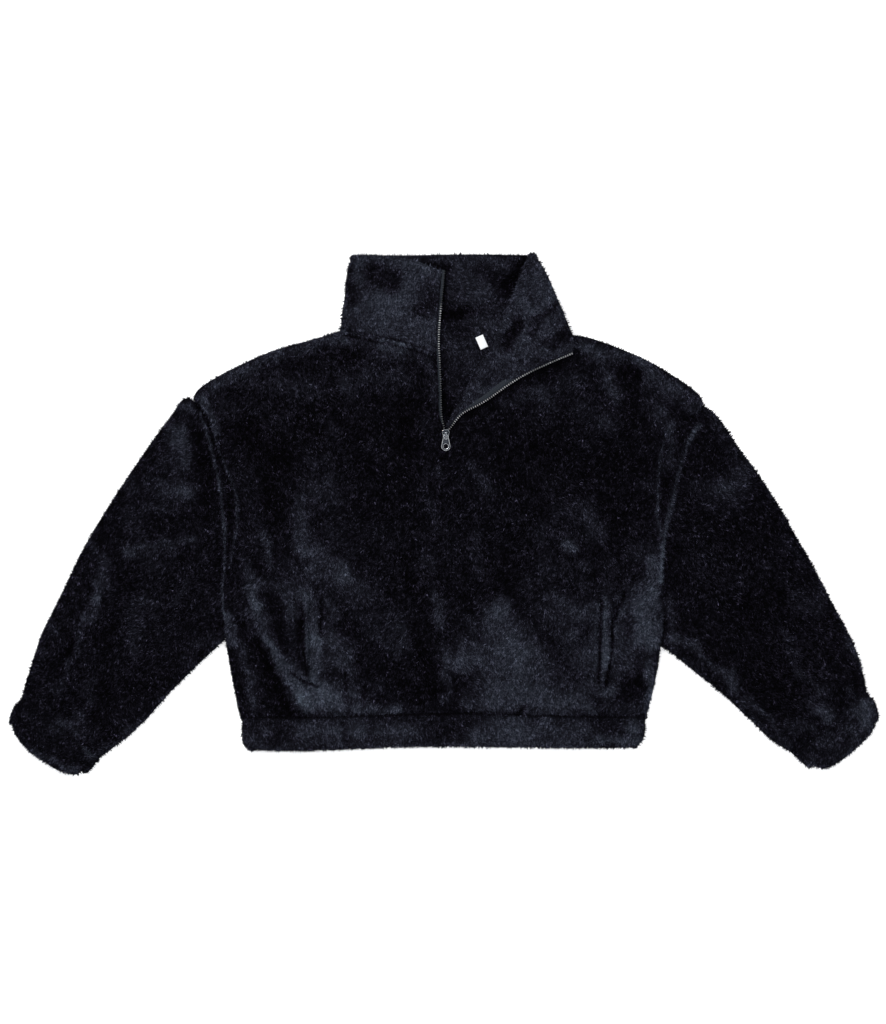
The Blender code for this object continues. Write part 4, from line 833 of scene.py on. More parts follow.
def hairs_object(name, points, light, shade, shades):
    """One triangle for each hair, with its colours at its two root corners and its tip; darker roots are
    painted shade and a lighter tip is painted sheen.
    """
    points[:, :, 2] = np.maximum(points[:, :, 2], LEAST_HEIGHT)
    colours = np.stack([pile_colour(light, shade * k) for k in shades], 1)
    tris = np.arange(len(points) * 3).reshape(-1, 3)
    obj = mesh_object(name, points.reshape(-1, 3), tris, PILE_MATERIAL, colours.reshape(-1, 4), smooth=False)
    return on_garment(obj)


def pile(name, cloth, wanted, level, density, length=4.4, heading=-90.0, width=1.15, seed=1):
    """Pile on a cloth: one leaning pointed blade for each root.

    A blade leans along the nap's heading, which wanders over the cloth, and blades of one tuft lean and
    shine alike.  Its direction is a share of the cloth's normal plus a share of that heading, which is
    laid into the cloth, plus a small random turn.  Where the cloth turns down at an edge, blades stand
    up more and are shorter.  Dark cloth has the greater differences from blade to blade.
    """
    rng = np.random.default_rng(seed)
    root, normal = scattered(cloth, wanted, density, rng)
    count, plan = len(root), root[:, :2]
    own, gather = tufts(plan)
    for degrees, size, layer in HEADING_CHANGES:
        heading = heading + degrees * noise(plan, size, layer)
    angle = np.radians(heading + TUFT_TURN * (own[0] - 0.5)) + rng.normal(0, BLADE_TURN, count)
    flow = np.stack([np.cos(angle), np.sin(angle), np.zeros(count)], 1)
    flow -= normal * (flow * normal).sum(1, keepdims=True)
    edge = np.clip(1.3 - 1.6 * np.abs(normal[:, 2]), 0, 1)
    stand = 0.5 * (0.75 + 0.5 * own[1]) + 0.6 * edge
    direction = unit(stand[:, None] * normal + LEAN * flow + rng.normal(0, SCATTER, (count, 3)))
    reach = length * (0.7 + 0.3 * own[2] + rng.normal(0, SCATTER, count).clip(-0.35, 0.5)) * shorter(root)
    reach *= 1 + edge * (0.2 * own[2] - 0.8)
    sideways = unit(np.cross(direction, normal + rng.normal(0, TWIST, (count, 3))))
    half = (width / 2 * (0.8 + 0.4 * rng.random(count)))[:, None]
    base = root - normal * ROOT_DEPTH
    tip = base + direction * reach[:, None]
    tip[:, :2] += gather
    tip[:, 2] = np.maximum(tip[:, 2], LEAST_TIP)
    base[:, 2] = np.maximum(base[:, 2], LEAST_ROOT)
    points = np.stack([base - sideways * half, base + sideways * half, tip], 1)
    light = level(root)
    shade = sum(strength * noise(plan, size, layer) for strength, size, layer in SHADE_CHANGES)
    shade = shade + TUFT_SHADE * (own[3] - 0.5) + rng.normal(0, BLADE_SHADE, count)
    shade = np.exp(shade * np.clip(1.5 - 0.95 * light, 0.6, 1.6))
    return hairs_object(name, points, light, shade, BLADE_SHADES)


def fringe(name, cloth, level, lengths=FOLD_FRINGE_REACH, seed=1):
    """Short hairs round the outline: they stand out level from the edges where up-facing cloth turns down.

    Those edges are found as the pairs of triangles of which one faces up and the other down.  Pointed
    tufts stand along them, turned at random from straight outwards, and of uneven widths and lengths.
    """
    rng = np.random.default_rng(seed)
    tris = cloth.tris
    corners = cloth.points[tris]
    facing = np.cross(corners[:, 1] - corners[:, 0], corners[:, 2] - corners[:, 0])[:, 2]
    edges = np.sort(np.concatenate([tris[:, [0, 1]], tris[:, [1, 2]], tris[:, [2, 0]]]), 1)
    order = np.lexsort((edges[:, 1], edges[:, 0]))
    edges, up = edges[order], np.tile(facing, 3)[order] > 0
    pair = np.flatnonzero((edges[1:] == edges[:-1]).all(1) & (up[1:] != up[:-1]))
    start, end = cloth.points[edges[pair, 0]], cloth.points[edges[pair, 1]]
    every = np.linalg.norm(end - start, axis=1) / FRINGE_PITCH + rng.uniform(-0.5, 0.5, len(pair))
    every = np.maximum(1, np.round(every)).astype(int)
    chosen = np.repeat(np.arange(len(every)), every)
    count = len(chosen)
    place = np.arange(count) - np.repeat(np.cumsum(every) - every, every)
    mix = ((place + rng.uniform(0.2, 0.8, count)) / every[chosen])[:, None]
    root = start[chosen] * (1 - mix) + end[chosen] * mix
    normal = cloth.normals[edges[pair[chosen], 0]] * (1 - mix) + cloth.normals[edges[pair[chosen], 1]] * mix
    out = unit(normal[:, :2])
    turn, rise = rng.normal(0, FRINGE_TURN, count), rng.normal(0, FRINGE_RISE, count)
    heading = np.stack([out[:, 0] * np.cos(turn) - out[:, 1] * np.sin(turn),
                        out[:, 0] * np.sin(turn) + out[:, 1] * np.cos(turn), rise], 1)
    side = np.stack([-heading[:, 1], heading[:, 0], np.zeros(count)], 1)
    half = rng.uniform(*FRINGE_HALF_WIDTH, (count, 1))
    reach = rng.uniform(*lengths, (count, 1)) * shorter(root)[:, None]
    base = root - FRINGE_DEPTH * heading
    points = np.stack([base - side * half, base + side * half, root + heading * reach], 1)
    shade = np.exp(rng.normal(0, FRINGE_SHADE, count))
    return hairs_object(name, points, FRINGE_LEVEL * level(root), shade, FRINGE_SHADES)


# Materials: the part of the noise's range that the mottle uses, and how deep its bump is in metres
MOTTLE_RANGE = (0.32, 0.68)
BUMP_DEPTH = 0.0006


def mottle_group():
    """Fine brightness change, the fibres' grain and on metal painted glints: noise in object coordinates,
    fitted from Low to High.

    The colour is multiplied by it, and the noise itself comes out too, as a height.
    """
    group = bpy.data.node_groups.new("grain_and_glint_mottle", "ShaderNodeTree")
    group.interface.new_socket("Colour", in_out="INPUT", socket_type="NodeSocketColor")
    for socket in ("Scale", "Low", "High"):
        group.interface.new_socket(socket, in_out="INPUT", socket_type="NodeSocketFloat")
    group.interface.new_socket("Colour", in_out="OUTPUT", socket_type="NodeSocketColor")
    group.interface.new_socket("Height", in_out="OUTPUT", socket_type="NodeSocketFloat")
    n, link = group.nodes, group.links.new
    inside, outside = n.new("NodeGroupInput"), n.new("NodeGroupOutput")
    where = n.new("ShaderNodeTexCoord")
    fibres = n.new("ShaderNodeTexNoise")
    fibres.inputs["Detail"].default_value = 3.0
    fibres.inputs["Roughness"].default_value = 0.65
    fit = n.new("ShaderNodeMapRange")
    fit.inputs["From Min"].default_value, fit.inputs["From Max"].default_value = MOTTLE_RANGE
    times = n.new("ShaderNodeVectorMath")
    times.operation = "SCALE"
    link(where.outputs["Object"], fibres.inputs["Vector"])
    link(inside.outputs["Scale"], fibres.inputs["Scale"])
    link(fibres.outputs["Fac"], fit.inputs["Value"])
    link(inside.outputs["Low"], fit.inputs["To Min"])
    link(inside.outputs["High"], fit.inputs["To Max"])
    link(inside.outputs["Colour"], times.inputs[0])
    link(fit.outputs["Result"], times.inputs["Scale"])
    link(times.outputs["Vector"], outside.inputs["Colour"])
    link(fibres.outputs["Fac"], outside.inputs["Height"])
    return group


MOTTLE = mottle_group()


def new_material(name, roughness, metallic=0.0, specular=0.5):
    """A material with a principled shader, and its nodes."""
    mat = bpy.data.materials.new(name)
    mat.use_nodes = True
    shader = mat.node_tree.nodes["Principled BSDF"]
    shader.inputs["Roughness"].default_value = roughness
    shader.inputs["Metallic"].default_value = metallic
    shader.inputs["Specular IOR Level"].default_value = specular
    return mat, mat.node_tree.nodes, mat.node_tree.links.new, shader


def mottled(mat_parts, source, scale, low, high, bump):
    """Base colour from a source times the mottle, and a bump from the same fibres."""
    _, nodes, link, shader = mat_parts
    mottle = nodes.new("ShaderNodeGroup")
    mottle.node_tree = MOTTLE
    mottle.inputs["Scale"].default_value = scale
    mottle.inputs["Low"].default_value = low
    mottle.inputs["High"].default_value = high
    if isinstance(source, tuple):
        mottle.inputs["Colour"].default_value = source
    else:
        link(source.outputs["Color"], mottle.inputs["Colour"])
    link(mottle.outputs["Colour"], shader.inputs["Base Color"])
    if bump:
        dents = nodes.new("ShaderNodeBump")
        dents.inputs["Strength"].default_value = bump
        dents.inputs["Distance"].default_value = BUMP_DEPTH
        link(mottle.outputs["Height"], dents.inputs["Height"])
        link(dents.outputs["Normal"], shader.inputs["Normal"])


def pile_material(name, scale, low, high, bump, roughness=0.9, metallic=0.0):
    """The colour that each point carries in its pile attribute, mottled: blades, backing and teeth."""
    parts = new_material(name, roughness, metallic, 0.03)
    mat, nodes = parts[:2]
    carried = nodes.new("ShaderNodeAttribute")
    carried.attribute_name = "pile"
    mottled(parts, carried, scale, low, high, bump)
    return mat


BACKING_MATERIAL = pile_material("plush_backing", 620.0, 0.25, 1.3, 0.8)
PILE_MATERIAL = pile_material("plush_pile", 900.0, 0.6, 1.4, 0.0)


def plain_material(name, colour, roughness, scale, metallic=0.0, specular=0.5, low=0.8, high=1.2, bump=0.3):
    """One colour with the mottle at this scale."""
    parts = new_material(name, roughness, metallic, specular)
    mottled(parts, colour, scale, low, high, bump)
    return parts[0]


TAPE_MATERIAL = plain_material("tape_weave", (0.019, 0.023, 0.030, 1), 0.8, specular=0.15, scale=1500.0)
THREAD_MATERIAL = plain_material("sewing_thread", (0.010, 0.012, 0.018, 1), 0.6, specular=0.3, scale=2500.0)
LABEL_MATERIAL = plain_material(
    "label_ribbon", (0.86, 0.87, 0.88, 1), 0.6, scale=2200.0, low=0.94, high=1.03)
# The metal's dark colour paints dark reflections on its flat faces, and its strong mottle paints glints
METAL_MATERIAL = plain_material(
    "zip_metal", (0.05, 0.055, 0.065, 1), 0.25, scale=650.0, metallic=1.0, low=0.2, high=1.8, bump=0.05)
# Painted highlight: the bright colour of the metal's rounded edges
HIGHLIGHT_MATERIAL = plain_material(
    "zip_metal_painted_highlight", (0.86, 0.88, 0.92, 1), 0.25, scale=450.0, metallic=1.0, low=0.4, high=1.4, bump=0.05)
# The teeth's mottle paints glints on them
TEETH_MATERIAL = pile_material("zip_teeth", 300.0, 0.6, 1.3, 0.05, roughness=0.35, metallic=1.0)
TEETH_COLOUR = np.array([0.93, 0.94, 0.96])


# Cloth pieces
# The backing's share of the pile's colour: darker, a painted shade where it shows between the blades
BACKING_SHADE = 0.5


def backing(name, cloth, level, node):
    """The cloth itself under its pile, in the pile's colours but darker as painted shade under the pile; it
    replaces its solid.
    """
    colours = pile_colour(level(cloth.points), np.full(len(cloth.points), BACKING_SHADE))
    obj = mesh_object(name, cloth.points, cloth.tris, BACKING_MATERIAL, colours)
    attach(obj, "garment")
    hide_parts(node)
    return obj


def on_garment(obj):
    """A piece that rides on the garment."""
    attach(obj, "garment")
    return obj


def body_side(side):
    """The armhole seam and side seam of one side, from the hem seam up to the shoulder tip."""
    return curve([(getattr(row, side), row.y) for row in BODY_SIDES])


def at_height(edge, y):
    """Length share at which an edge that climbs reaches a height."""
    shares = np.linspace(0, 1, 400)
    return float(np.interp(y, edge(shares)[:, 1], shares))


def back_cloth(step):
    """The back: one layer on the surface, from the hem seam to the neck and shoulder seams."""
    top = chain(curve(SHOULDER_RIGHT), curve(NECK_BACK), curve(SHOULDER_LEFT))
    bottom = curve(HEM_SEAM)
    sides = body_side("right"), body_side("left")
    across, up = stations(bottom.length, step, top.knots), stations(sides[0].length, step)
    plan = patch(bottom, top, *sides, across, up)
    return wall([raised(plan, BACK_MID)], BACKING)


def fold_radius(along):
    """Radius of the fold's middle surface: it opens from a crease at the slider to a full roll.

    It is half the cloth's thickness times a quarter of an ellipse over the distance from the slider,
    plus the fold's slack.
    """
    away = np.minimum(FOLD_OPENS * along * curve(FOLD_LINE).length / RIM, 1)
    return PLUSH / 2 * np.sqrt(1 - (1 - away) ** 2) + FOLD_SLACK


def front_cloth(step):
    """The front: three patches round the zip's slit, and the corner turned out over its fold."""
    sides = {side: body_side(side) for side in ("right", "left")}
    share = {side: at_height(edge, CHEST_LINE) for side, edge in sides.items()}
    chest = {side: tuple(sides[side](share[side])) for side in sides}
    lower = {side: stretch(sides[side], 0, share[side]) for side in sides}
    upper = {side: stretch(sides[side], share[side], 1) for side in sides}
    chest_line = chain(curve((chest["right"], ZIP_END)), curve((ZIP_END, chest["left"])))
    middle = chest_line.knots[1]
    across = stations(chest_line.length, step, chest_line.knots, rims=(0.0, middle, 1.0))
    up = stations(lower["right"].length, step, rims=(0.0,))
    bottom = patch(curve(HEM_SEAM), chest_line, lower["right"], lower["left"], across, up)
    slit_right = chain(curve((ZIP_END, ZIP_EDGE_RIGHT[0])), curve(ZIP_EDGE_RIGHT))
    on_right = across[across <= middle] / middle
    up_right = stations(slit_right.length, step, slit_right.knots, rims=(1.0,))
    top_right = chain(curve(SHOULDER_RIGHT), curve(NECK_RIGHT))
    line_right, line_left = stretch(chest_line, 0, middle), stretch(chest_line, middle, 1)
    chest_right = patch(line_right, top_right, upper["right"], slit_right, on_right, up_right)
    slit_left = chain(curve((ZIP_END, FLAP_START)), curve(FOLD_LINE))
    on_left = (across[across >= middle] - middle) / (1 - middle)
    up_left = stations(slit_left.length, step, slit_left.knots, rims=(1.0,))
    top_left = chain(curve(NECK_LEFT), curve(SHOULDER_LEFT))
    chest_left = patch(line_left, top_left, slit_left, upper["left"], on_left, up_left)
    knot = slit_left.knots[1]
    along = (up_left[up_left >= knot - TINY] - knot) / (1 - knot)
    patches = [raised(p, front_height(p)) for p in (bottom, chest_right, chest_left)]
    return wall(patches + [chest_flap(along)], BACKING)


def chest_flap(along):
    """Turned-out corner: from the zip's edge over the flap, then half a circle round the fold line.

    The flap lies two radii over the front.  On the half circle, the way out from the fold line goes
    with the sine of the angle, and the height with 1 less its cosine.
    """
    fold = curve(FOLD_LINE)(along)
    edge = curve(FLAP_EDGE)(along)
    radius = fold_radius(along)[:, None]
    base = front_height(fold)[:, None]
    direction = np.subtract(FOLD_LINE[1], FOLD_LINE[0])
    outwards = np.array([-direction[1], direction[0]]) / np.linalg.norm(direction)
    share = np.array([0, 0.015, 0.05, 0.12, 0.22, 0.34, 0.46, 0.58, 0.7, 0.85, 1.0])[None, :, None]
    lying = edge[:, None] * (1 - share) + fold[:, None] * share
    flap = raised(lying, front_height(lying) + 2 * radius)
    angle = np.radians(np.arange(160, -1, -20))[None]
    bulge = fold[:, None] + outwards * (radius * np.sin(angle))[..., None]
    roll = raised(bulge, base + radius * (1 - np.cos(angle)))
    grid = np.concatenate([flap, roll], 1)
    grid[0] = (*FLAP_START, front_height(np.array(FLAP_START)))
    return grid


def half_turn(base, top, low, high, side, rows):
    """Stations of a strip that bends half a circle round a line, from one level to another.

    The way out from the line goes with the sine of the angle, and the height with its cosine.
    """
    radius = abs(high - low) / 2
    axis = np.subtract(top, base)
    outwards = side * np.array([axis[1], -axis[0]]) / np.linalg.norm(axis)
    line = np.asarray(base)[None] + rows[:, None] * axis[None]
    plan = line[:, None] + outwards * (radius * np.sin(BEND_ANGLES))[None, :, None]
    return raised(plan, (low + high) / 2 - (high - low) / 2 * np.cos(BEND_ANGLES)[None])


def collar_run(base, top, level, rows, count, seams=()):
    """Stations of a strip lying at one level: straight lines from its base edge to its top edge."""
    share = np.linspace(0, 1, count + 1)
    upper = curve(top)(share) if len(top) > 1 else np.repeat(np.array(top, float), count + 1, axis=0)
    plan = curve(base)(share)[None] * (1 - rows)[:, None, None] + upper[None] * rows[:, None, None]
    height = level + np.maximum(relief(plan, COLLAR_FOLDS), 0) + 0.25 * noise(plan, 17.0, 3)
    for bell, seam in seam_bells(picture(plan), seams):
        height += seam.rise * bell
    return raised(plan, height)


def collar_cloth(step):
    """The collar's strip: front, round the right edge, back, forwards again and folded out."""
    rows = stations(COLLAR_HEIGHT, step)
    rows[0] = -SEAM_LAP / COLLAR_HEIGHT
    corner = COLLAR_TOP_BACK[-1]
    front, back, turned = COLLAR_FRONT_MID, COLLAR_BACK_MID, COLLAR_TURNED_MID
    pieces = [
        collar_run(COLLAR_BASE_FRONT, COLLAR_TOP_FRONT, front, rows, 24),
        half_turn(COLLAR_BASE_FRONT[-1], COLLAR_TOP_FRONT[-1], front, back, -1, rows),
        collar_run(COLLAR_BASE_BACK, COLLAR_TOP_BACK, back, rows, 36),
        half_turn(COLLAR_BASE_BACK[-1], corner, back, front, 1, rows),
        collar_run(COLLAR_BASE_HIDDEN, [corner], front, rows, 8),
        half_turn(COLLAR_BASE_HIDDEN[-1], corner, front, turned, -1, rows),
        collar_run(COLLAR_BASE_TURNED, COLLAR_TOP_TURNED, turned, rows, 26, TURNED_SEAMS),
    ]
    return wall([rounded_corner(np.concatenate(pieces, 1))], BACKING_DOUBLED)


def rounded_corner(grid):
    """The stand's top corner on the wearer's right, pulled in to an arc about its own centre.

    What lies up and outwards of the centre, and beyond the radius, is moved straight in to the radius.
    """
    away = grid[..., :2] - CORNER_CENTRE
    beyond = (away[..., 0] < 0) & (away[..., 1] > 0)
    far = np.maximum(np.linalg.norm(away, axis=-1), TINY)
    share = np.where(beyond, np.minimum(CORNER_RADIUS / far, 1), 1.0)
    return np.concatenate([CORNER_CENTRE + away * share[..., None], grid[..., 2:]], -1)


def resampled(rows, shares, wanted):
    """Rows of plan points read again at other shares across."""
    return np.stack([np.stack([np.interp(wanted, shares, row[:, k]) for k in range(2)], -1) for row in rows])


def tube_cloth(plan, top_height, folds, thickness, back_columns, half):
    """Tube laid flat: a folded top layer over a level one, joined by half-round bends at both edges.

    The plan is drawn in at both sides by the bend's radius and the inset.  On a bend, the way out goes
    with the sine of the angle, and the height with its cosine, between the top layer and the low one.
    """
    low = thickness / 2
    radius = (top_height - low) / 2
    start, end = plan[:, :1], plan[:, -1:]
    across = unit(end - start)
    shares = np.linspace(0, 1, plan.shape[1])
    inner = plan + (radius + TUBE_INSET) * (1 - 2 * shares)[None, :, None] * across
    dents = BROAD_DENT * noise(inner, 24.0, 3) + SMALL_DENT * noise(inner, 10.0, 4)
    top = raised(inner, top_height + np.maximum(relief(inner, folds), DEEPEST_DIP) + dents)
    back = raised(resampled(inner, shares, np.linspace(1, 0, back_columns + 1)), low)

    def bend(edge, side):
        """Half-round bend from the top layer's edge down to the low layer."""
        middle, rise = (edge[:, None, 2] + low) / 2, (edge[:, None, 2] - low) / 2
        points = edge[:, None, :2] + side * across * (radius * np.sin(BEND_ANGLES))[None, :, None]
        return raised(points, middle + rise * np.cos(BEND_ANGLES))

    grid = np.concatenate([top, bend(top[:, -1], 1), back, bend(top[:, 0], -1)[:, ::-1], top[:, :1]], 1)
    turned = np.cross(top[0, 1] - top[0, 0], top[1, 0] - top[0, 0])[2] < 0
    return wall([grid[:, ::-1] if turned else grid], half)


# What sets the grids' steps, in millimetres: a sleeve's width, a casing's depth, and the finest step
SLEEVE_WIDTH = 260.0
CASING_DEPTH = 40.0
FINE_STEP = 5.0


def sleeve_cloth(side, overarm, underarm, folds, step):
    """One sleeve, from the armhole seam to the cuff seam."""
    outwards = -1 if side == "right" else 1
    edge = body_side(side)
    armhole = stretch(edge, 1, at_height(edge, underarm[0][1]))
    head = curve(armhole(np.linspace(0, 1, 24)) - np.array([outwards * SEAM_LAP, 0]))
    over = curve((tuple(head(0.0)),) + overarm[1:])
    under = curve((tuple(head(1.0)),) + underarm[1:])
    columns = int(SLEEVE_WIDTH / step)
    cuff_line = curve((overarm[-1], underarm[-1]))
    plan = patch(head, cuff_line, over, under, np.linspace(0, 1, columns), stations(over.length, step))
    return tube_cloth(plan, SLEEVE_TOP_MID, folds, PLUSH, columns // 2, BACKING)


def casing_cloth(piece, folds, columns):
    """Doubled casing over elastic, laid flat: a cuff or the hem band."""
    edges = [curve(points) for points in (piece.seam, piece.end, piece.first_side, piece.last_side)]
    plan = patch(*edges, np.linspace(0, 1, columns), stations(CASING_DEPTH, FINE_STEP))
    lap = plan[0] - plan[1]
    plan[0] += SEAM_LAP * lap / np.linalg.norm(lap, axis=1, keepdims=True)
    return tube_cloth(plan, CASING_TOP_MID, folds, DOUBLED, columns // 2, BACKING_DOUBLED)


def welt_cloth(welt):
    """Pocket welt: a narrow folded strip on the front, made from the front's own points, moved out."""
    top, bottom = np.asarray(welt.top, float), np.asarray(welt.bottom, float)
    length = float(np.linalg.norm(bottom - top))
    down = (bottom - top) / length
    sideways = np.array([-down[1], down[0]])
    across = np.linspace(-0.5, 0.5, 9) * welt.width
    line = top[None] + stations(length, FINE_STEP)[:, None] * (bottom - top)[None]
    plan = line[:, None] + across[None, :, None] * sideways
    return wall([raised(plan, front_height(plan) + PLUSH / 2 + WELT_LIFT)], WELT_HALF, WELT_RIM)


# What is wanted where: the slope past which a face counts as facing up or beneath, how thin the pile
# is beneath, and the heights between the collar's layers.  Then where the open neck shows the back's
# inside, where the collar's back shows, and how far the front stand goes
SLOPE = 0.35
UNDERNEATH = 0.22
BELOW_ALL = -1.0
STAND_FROM = 6.4
TURNED_FROM = 13.2
NECK_FROM_Y = 92.0
NECK_PILE_X = (-14.0, 78.0)
# The x range of the neck's painted sheen and shade
NECK_SHEEN_AND_SHADE_X = (-16.0, 82.0)
COLLAR_BACK_X = (-18.0, 122.0)
STAND_TO_X = 60.0

# How light each layer's pile is without its streaks, and how much the hidden back's pile sways
BASE = {"body": 0.12, "arm_right": 0.12, "arm_left": 0.08, "pocket_edge": 0.18, "back": 0.25, "neck": 0.46,
        "collar": 0.68, "collar_inner": 0.50, "turned": 0.64}
BACK_SWAY = 0.12


def layered(*layers):
    """Level function of a piece whose layers lie over each other: (height limit, level) from the top."""
    def level(points):
        """The level of the topmost layer whose limit each point is over."""
        plan = points[:, :2]
        return np.select([points[:, 2] > low for low, _ in layers], [of(plan) for _, of in layers])
    return level


def level_of(painted_streaks, seams, base):
    """The level function of one layer, over plan points."""
    return lambda plan: sheen_and_shade_level(plan, painted_streaks, seams, base)


def between(values, limits):
    """Where the values lie between two limits."""
    return (values > limits[0]) & (values < limits[1])


def showing(facing, seen=True):
    """Wanted: 1 on what faces up or sideways, but on the up side only where it is seen, and 0 beneath."""
    up, beneath = facing[:, 2] > SLOPE, facing[:, 2] <= -SLOPE
    return np.where(beneath | (up & ~np.asarray(seen)), 0.0, 1.0)


# The cloth grids' step, blades a square millimetre on single and folded cloth, and the height over the
# front past which its inside is turned out
STEP = FINE_STEP
DENSITY = 1.12
FOLDED_DENSITY = 1.3
FLAP_LIFT = 2.4
body_level = level_of(BODY_SHEEN_AND_SHADE, BODY_SEAMS, BASE["body"])
turned_level = level_of(TURNED_SHEEN_AND_SHADE, TURNED_SEAMS, BASE["turned"])


def front_level(points):
    """The front's painted sheen and shade; its turned-out corner shows the inside, which is lighter."""
    plan = points[:, :2]
    above = points[:, 2] - front_height(plan) > FLAP_LIFT
    return np.where(above, turned_level(plan), body_level(plan))


def on_front(side):
    """Wanted on the front: what faces up or sideways, on one half."""
    def wanted(centre, facing, face):
        """1 on the half of the front on this side of the slit, where it shows."""
        half = centre[:, 0] < ZIP_END[0] if side == "right" else centre[:, 0] >= ZIP_END[0]
        return showing(facing) * half
    return wanted


front = front_cloth(STEP)
front_piece = backing("front", front, front_level, "front_panel")
front_pile = [
    pile("front_pile_" + side, front, on_front(side), front_level, DENSITY, seed=k)
    for k, side in enumerate(("right", "left"), 11)]

back = back_cloth(2 * STEP)
neck_level = level_of(NECK_SHEEN_AND_SHADE, (), BASE["neck"])


def on_back(centre, facing, face):
    """Wanted on the back: its inside where the open zip shows it, and thinly on its underside."""
    seen = between(centre[:, 0], NECK_PILE_X) & (centre[:, 1] > NECK_FROM_Y)
    return showing(facing, seen) + UNDERNEATH * (facing[:, 2] < -SLOPE)


def back_level(points):
    """The back's level: lighter where the neck shows its inside, with painted shade beside the zip."""
    plan = points[:, :2]
    inside = between(plan[:, 0], NECK_SHEEN_AND_SHADE_X) & (plan[:, 1] > NECK_FROM_Y) & (points[:, 2] > BACK_MID)
    return np.where(inside, neck_level(plan), BASE["back"] + BACK_SWAY * noise(plan, 50.0, 6))


back_piece = backing("back", back, back_level, "back_panel")
back_pile = pile("back_pile", back, on_back, back_level, DENSITY, length=4.2, seed=13)
back_fringe = fringe("back_fringe", back, back_level, FRINGE_REACH, seed=15)
front_fringe = fringe("front_fringe", front, front_level, FRINGE_REACH, seed=16)


def on_tube(centre, facing, face):
    """Wanted on a tube: its outer side, fully on top and round the edges, thinly underneath."""
    return np.where(face > 0, np.where(facing[:, 2] > -SLOPE, 1.0, UNDERNEATH), 0.0)


SLEEVE_STEP = STEP + 1.5
for k, (side, over, under, folds, painted_streaks, heading) in enumerate((
        ("right", OVERARM_RIGHT, UNDERARM_RIGHT, SLEEVE_FOLDS_RIGHT, ARM_SHEEN_AND_SHADE_RIGHT, -118.0),
        ("left", OVERARM_LEFT, UNDERARM_LEFT, SLEEVE_FOLDS_LEFT, ARM_SHEEN_AND_SHADE_LEFT, -62.0))):
    cloth = sleeve_cloth(side, over, under, folds, SLEEVE_STEP)
    level = layered((BELOW_ALL, level_of(painted_streaks, BODY_SEAMS, BASE["arm_" + side])))
    piece = backing("arm_" + side, cloth, level, "sleeve_" + side)
    hairs = pile("arm_pile_" + side, cloth, on_tube, level, DENSITY, heading=heading, seed=21 + k)
    edge_hairs = fringe("arm_fringe_" + side, cloth, level, seed=23 + k)

collar = collar_cloth(STEP)
collar_level = layered(
    (TURNED_FROM, turned_level),
    (STAND_FROM, level_of(COLLAR_SHEEN_AND_SHADE, COLLAR_SEAMS, BASE["collar"])),
    (BELOW_ALL, level_of(COLLAR_INNER_SHEEN_AND_SHADE, (), BASE["collar_inner"])))


def on_collar(centre, facing, face):
    """Wanted on the collar: the front stand, the turned-out part, and the back where it shows."""
    low, turned = centre[:, 2] < STAND_FROM, centre[:, 2] > TURNED_FROM
    seen = turned | (~low & (centre[:, 0] < STAND_TO_X)) | (low & between(centre[:, 0], COLLAR_BACK_X))
    return showing(facing, seen) + UNDERNEATH * ((facing[:, 2] < -SLOPE) & low)


collar_piece = backing("neck_stand", collar, collar_level, "collar")
collar_pile = pile("neck_pile", collar, on_collar, collar_level, FOLDED_DENSITY, length=4.0, seed=31)
collar_fringe = fringe("neck_fringe", collar, collar_level, seed=32)

for k, (name, node, table, folds, painted_streaks, base, heading, columns, cut) in enumerate((
        ("hem", "hem_band", HEM_BAND, HEM_GATHERS, HEM_SHEEN_AND_SHADE, 0.34, -90.0, 100, (1.04, 0.045)),
        ("cuff_end_right", "cuff_right", CUFF_RIGHT, CUFF_FOLDS, CUFF_SHEEN_AND_SHADE, 0.16, -118.0, 26, (0.26, 0.045)),
        ("cuff_end_left", "cuff_left", CUFF_LEFT, CUFF_FOLDS, CUFF_SHEEN_AND_SHADE, 0.24, -62.0, 26, (0.26, 0.045)))):
    cloth = casing_cloth(table, folds, columns)
    level = layered((BELOW_ALL, level_of(painted_streaks, HEM_SEAMS, base)))
    piece = backing(name, cloth, level, node)
    hairs = pile(name + "_pile", cloth, on_tube, level, DENSITY, length=4.0, heading=heading, seed=41 + k)
    edge_hairs = fringe(name + "_fringe", cloth, level, seed=44 + k)


def on_strip(centre, facing, face):
    """Wanted on a strip that lies on the front: what faces up or sideways."""
    return showing(facing)


for k, (node, welt) in enumerate(WELTS.items()):
    cloth = welt_cloth(welt)
    level = layered((BELOW_ALL, level_of(BODY_SHEEN_AND_SHADE, BODY_SEAMS, BASE["pocket_edge"])))
    piece = backing(node.replace("pocket_welt", "pocket_edge"), cloth, level, node)
    hairs = pile("pocket_edge_pile_%d" % k, cloth, on_strip, level, FOLDED_DENSITY, length=3.6, width=1.0,
                 seed=51 + k)


# The zip
def tooth_mesh():
    """One zip tooth: a bar across the tape (x), of one six-sided section that narrows at its ends."""
    section = np.array([(-0.3, -0.8), (0.3, -0.8), (0.42, 0.0), (0.3, 0.8), (-0.3, 0.8), (-0.42, 0.0)])
    rings = []
    for x, grow in ((-1.1, 0.55), (-0.95, 1.0), (0.6, 1.0), (1.05, 0.85), (1.2, 0.4)):
        rings.append(np.column_stack([np.full(6, x), section * grow]))
    return capped_rings(rings)


def capped_rings(rings):
    """Rings of six points each, joined by triangles and closed at both ends."""
    tris = []
    for r in range(len(rings) - 1):
        for k in range(6):
            a, b = 6 * r + k, 6 * r + (k + 1) % 6
            tris += [(a, b, b + 6), (a, b + 6, a + 6)]
    last = 6 * (len(rings) - 1)
    tris += [(0, k + 1, k) for k in range(1, 5)] + [(last, last + k, last + k + 1) for k in range(1, 5)]
    return np.concatenate(rings), np.array(tris)


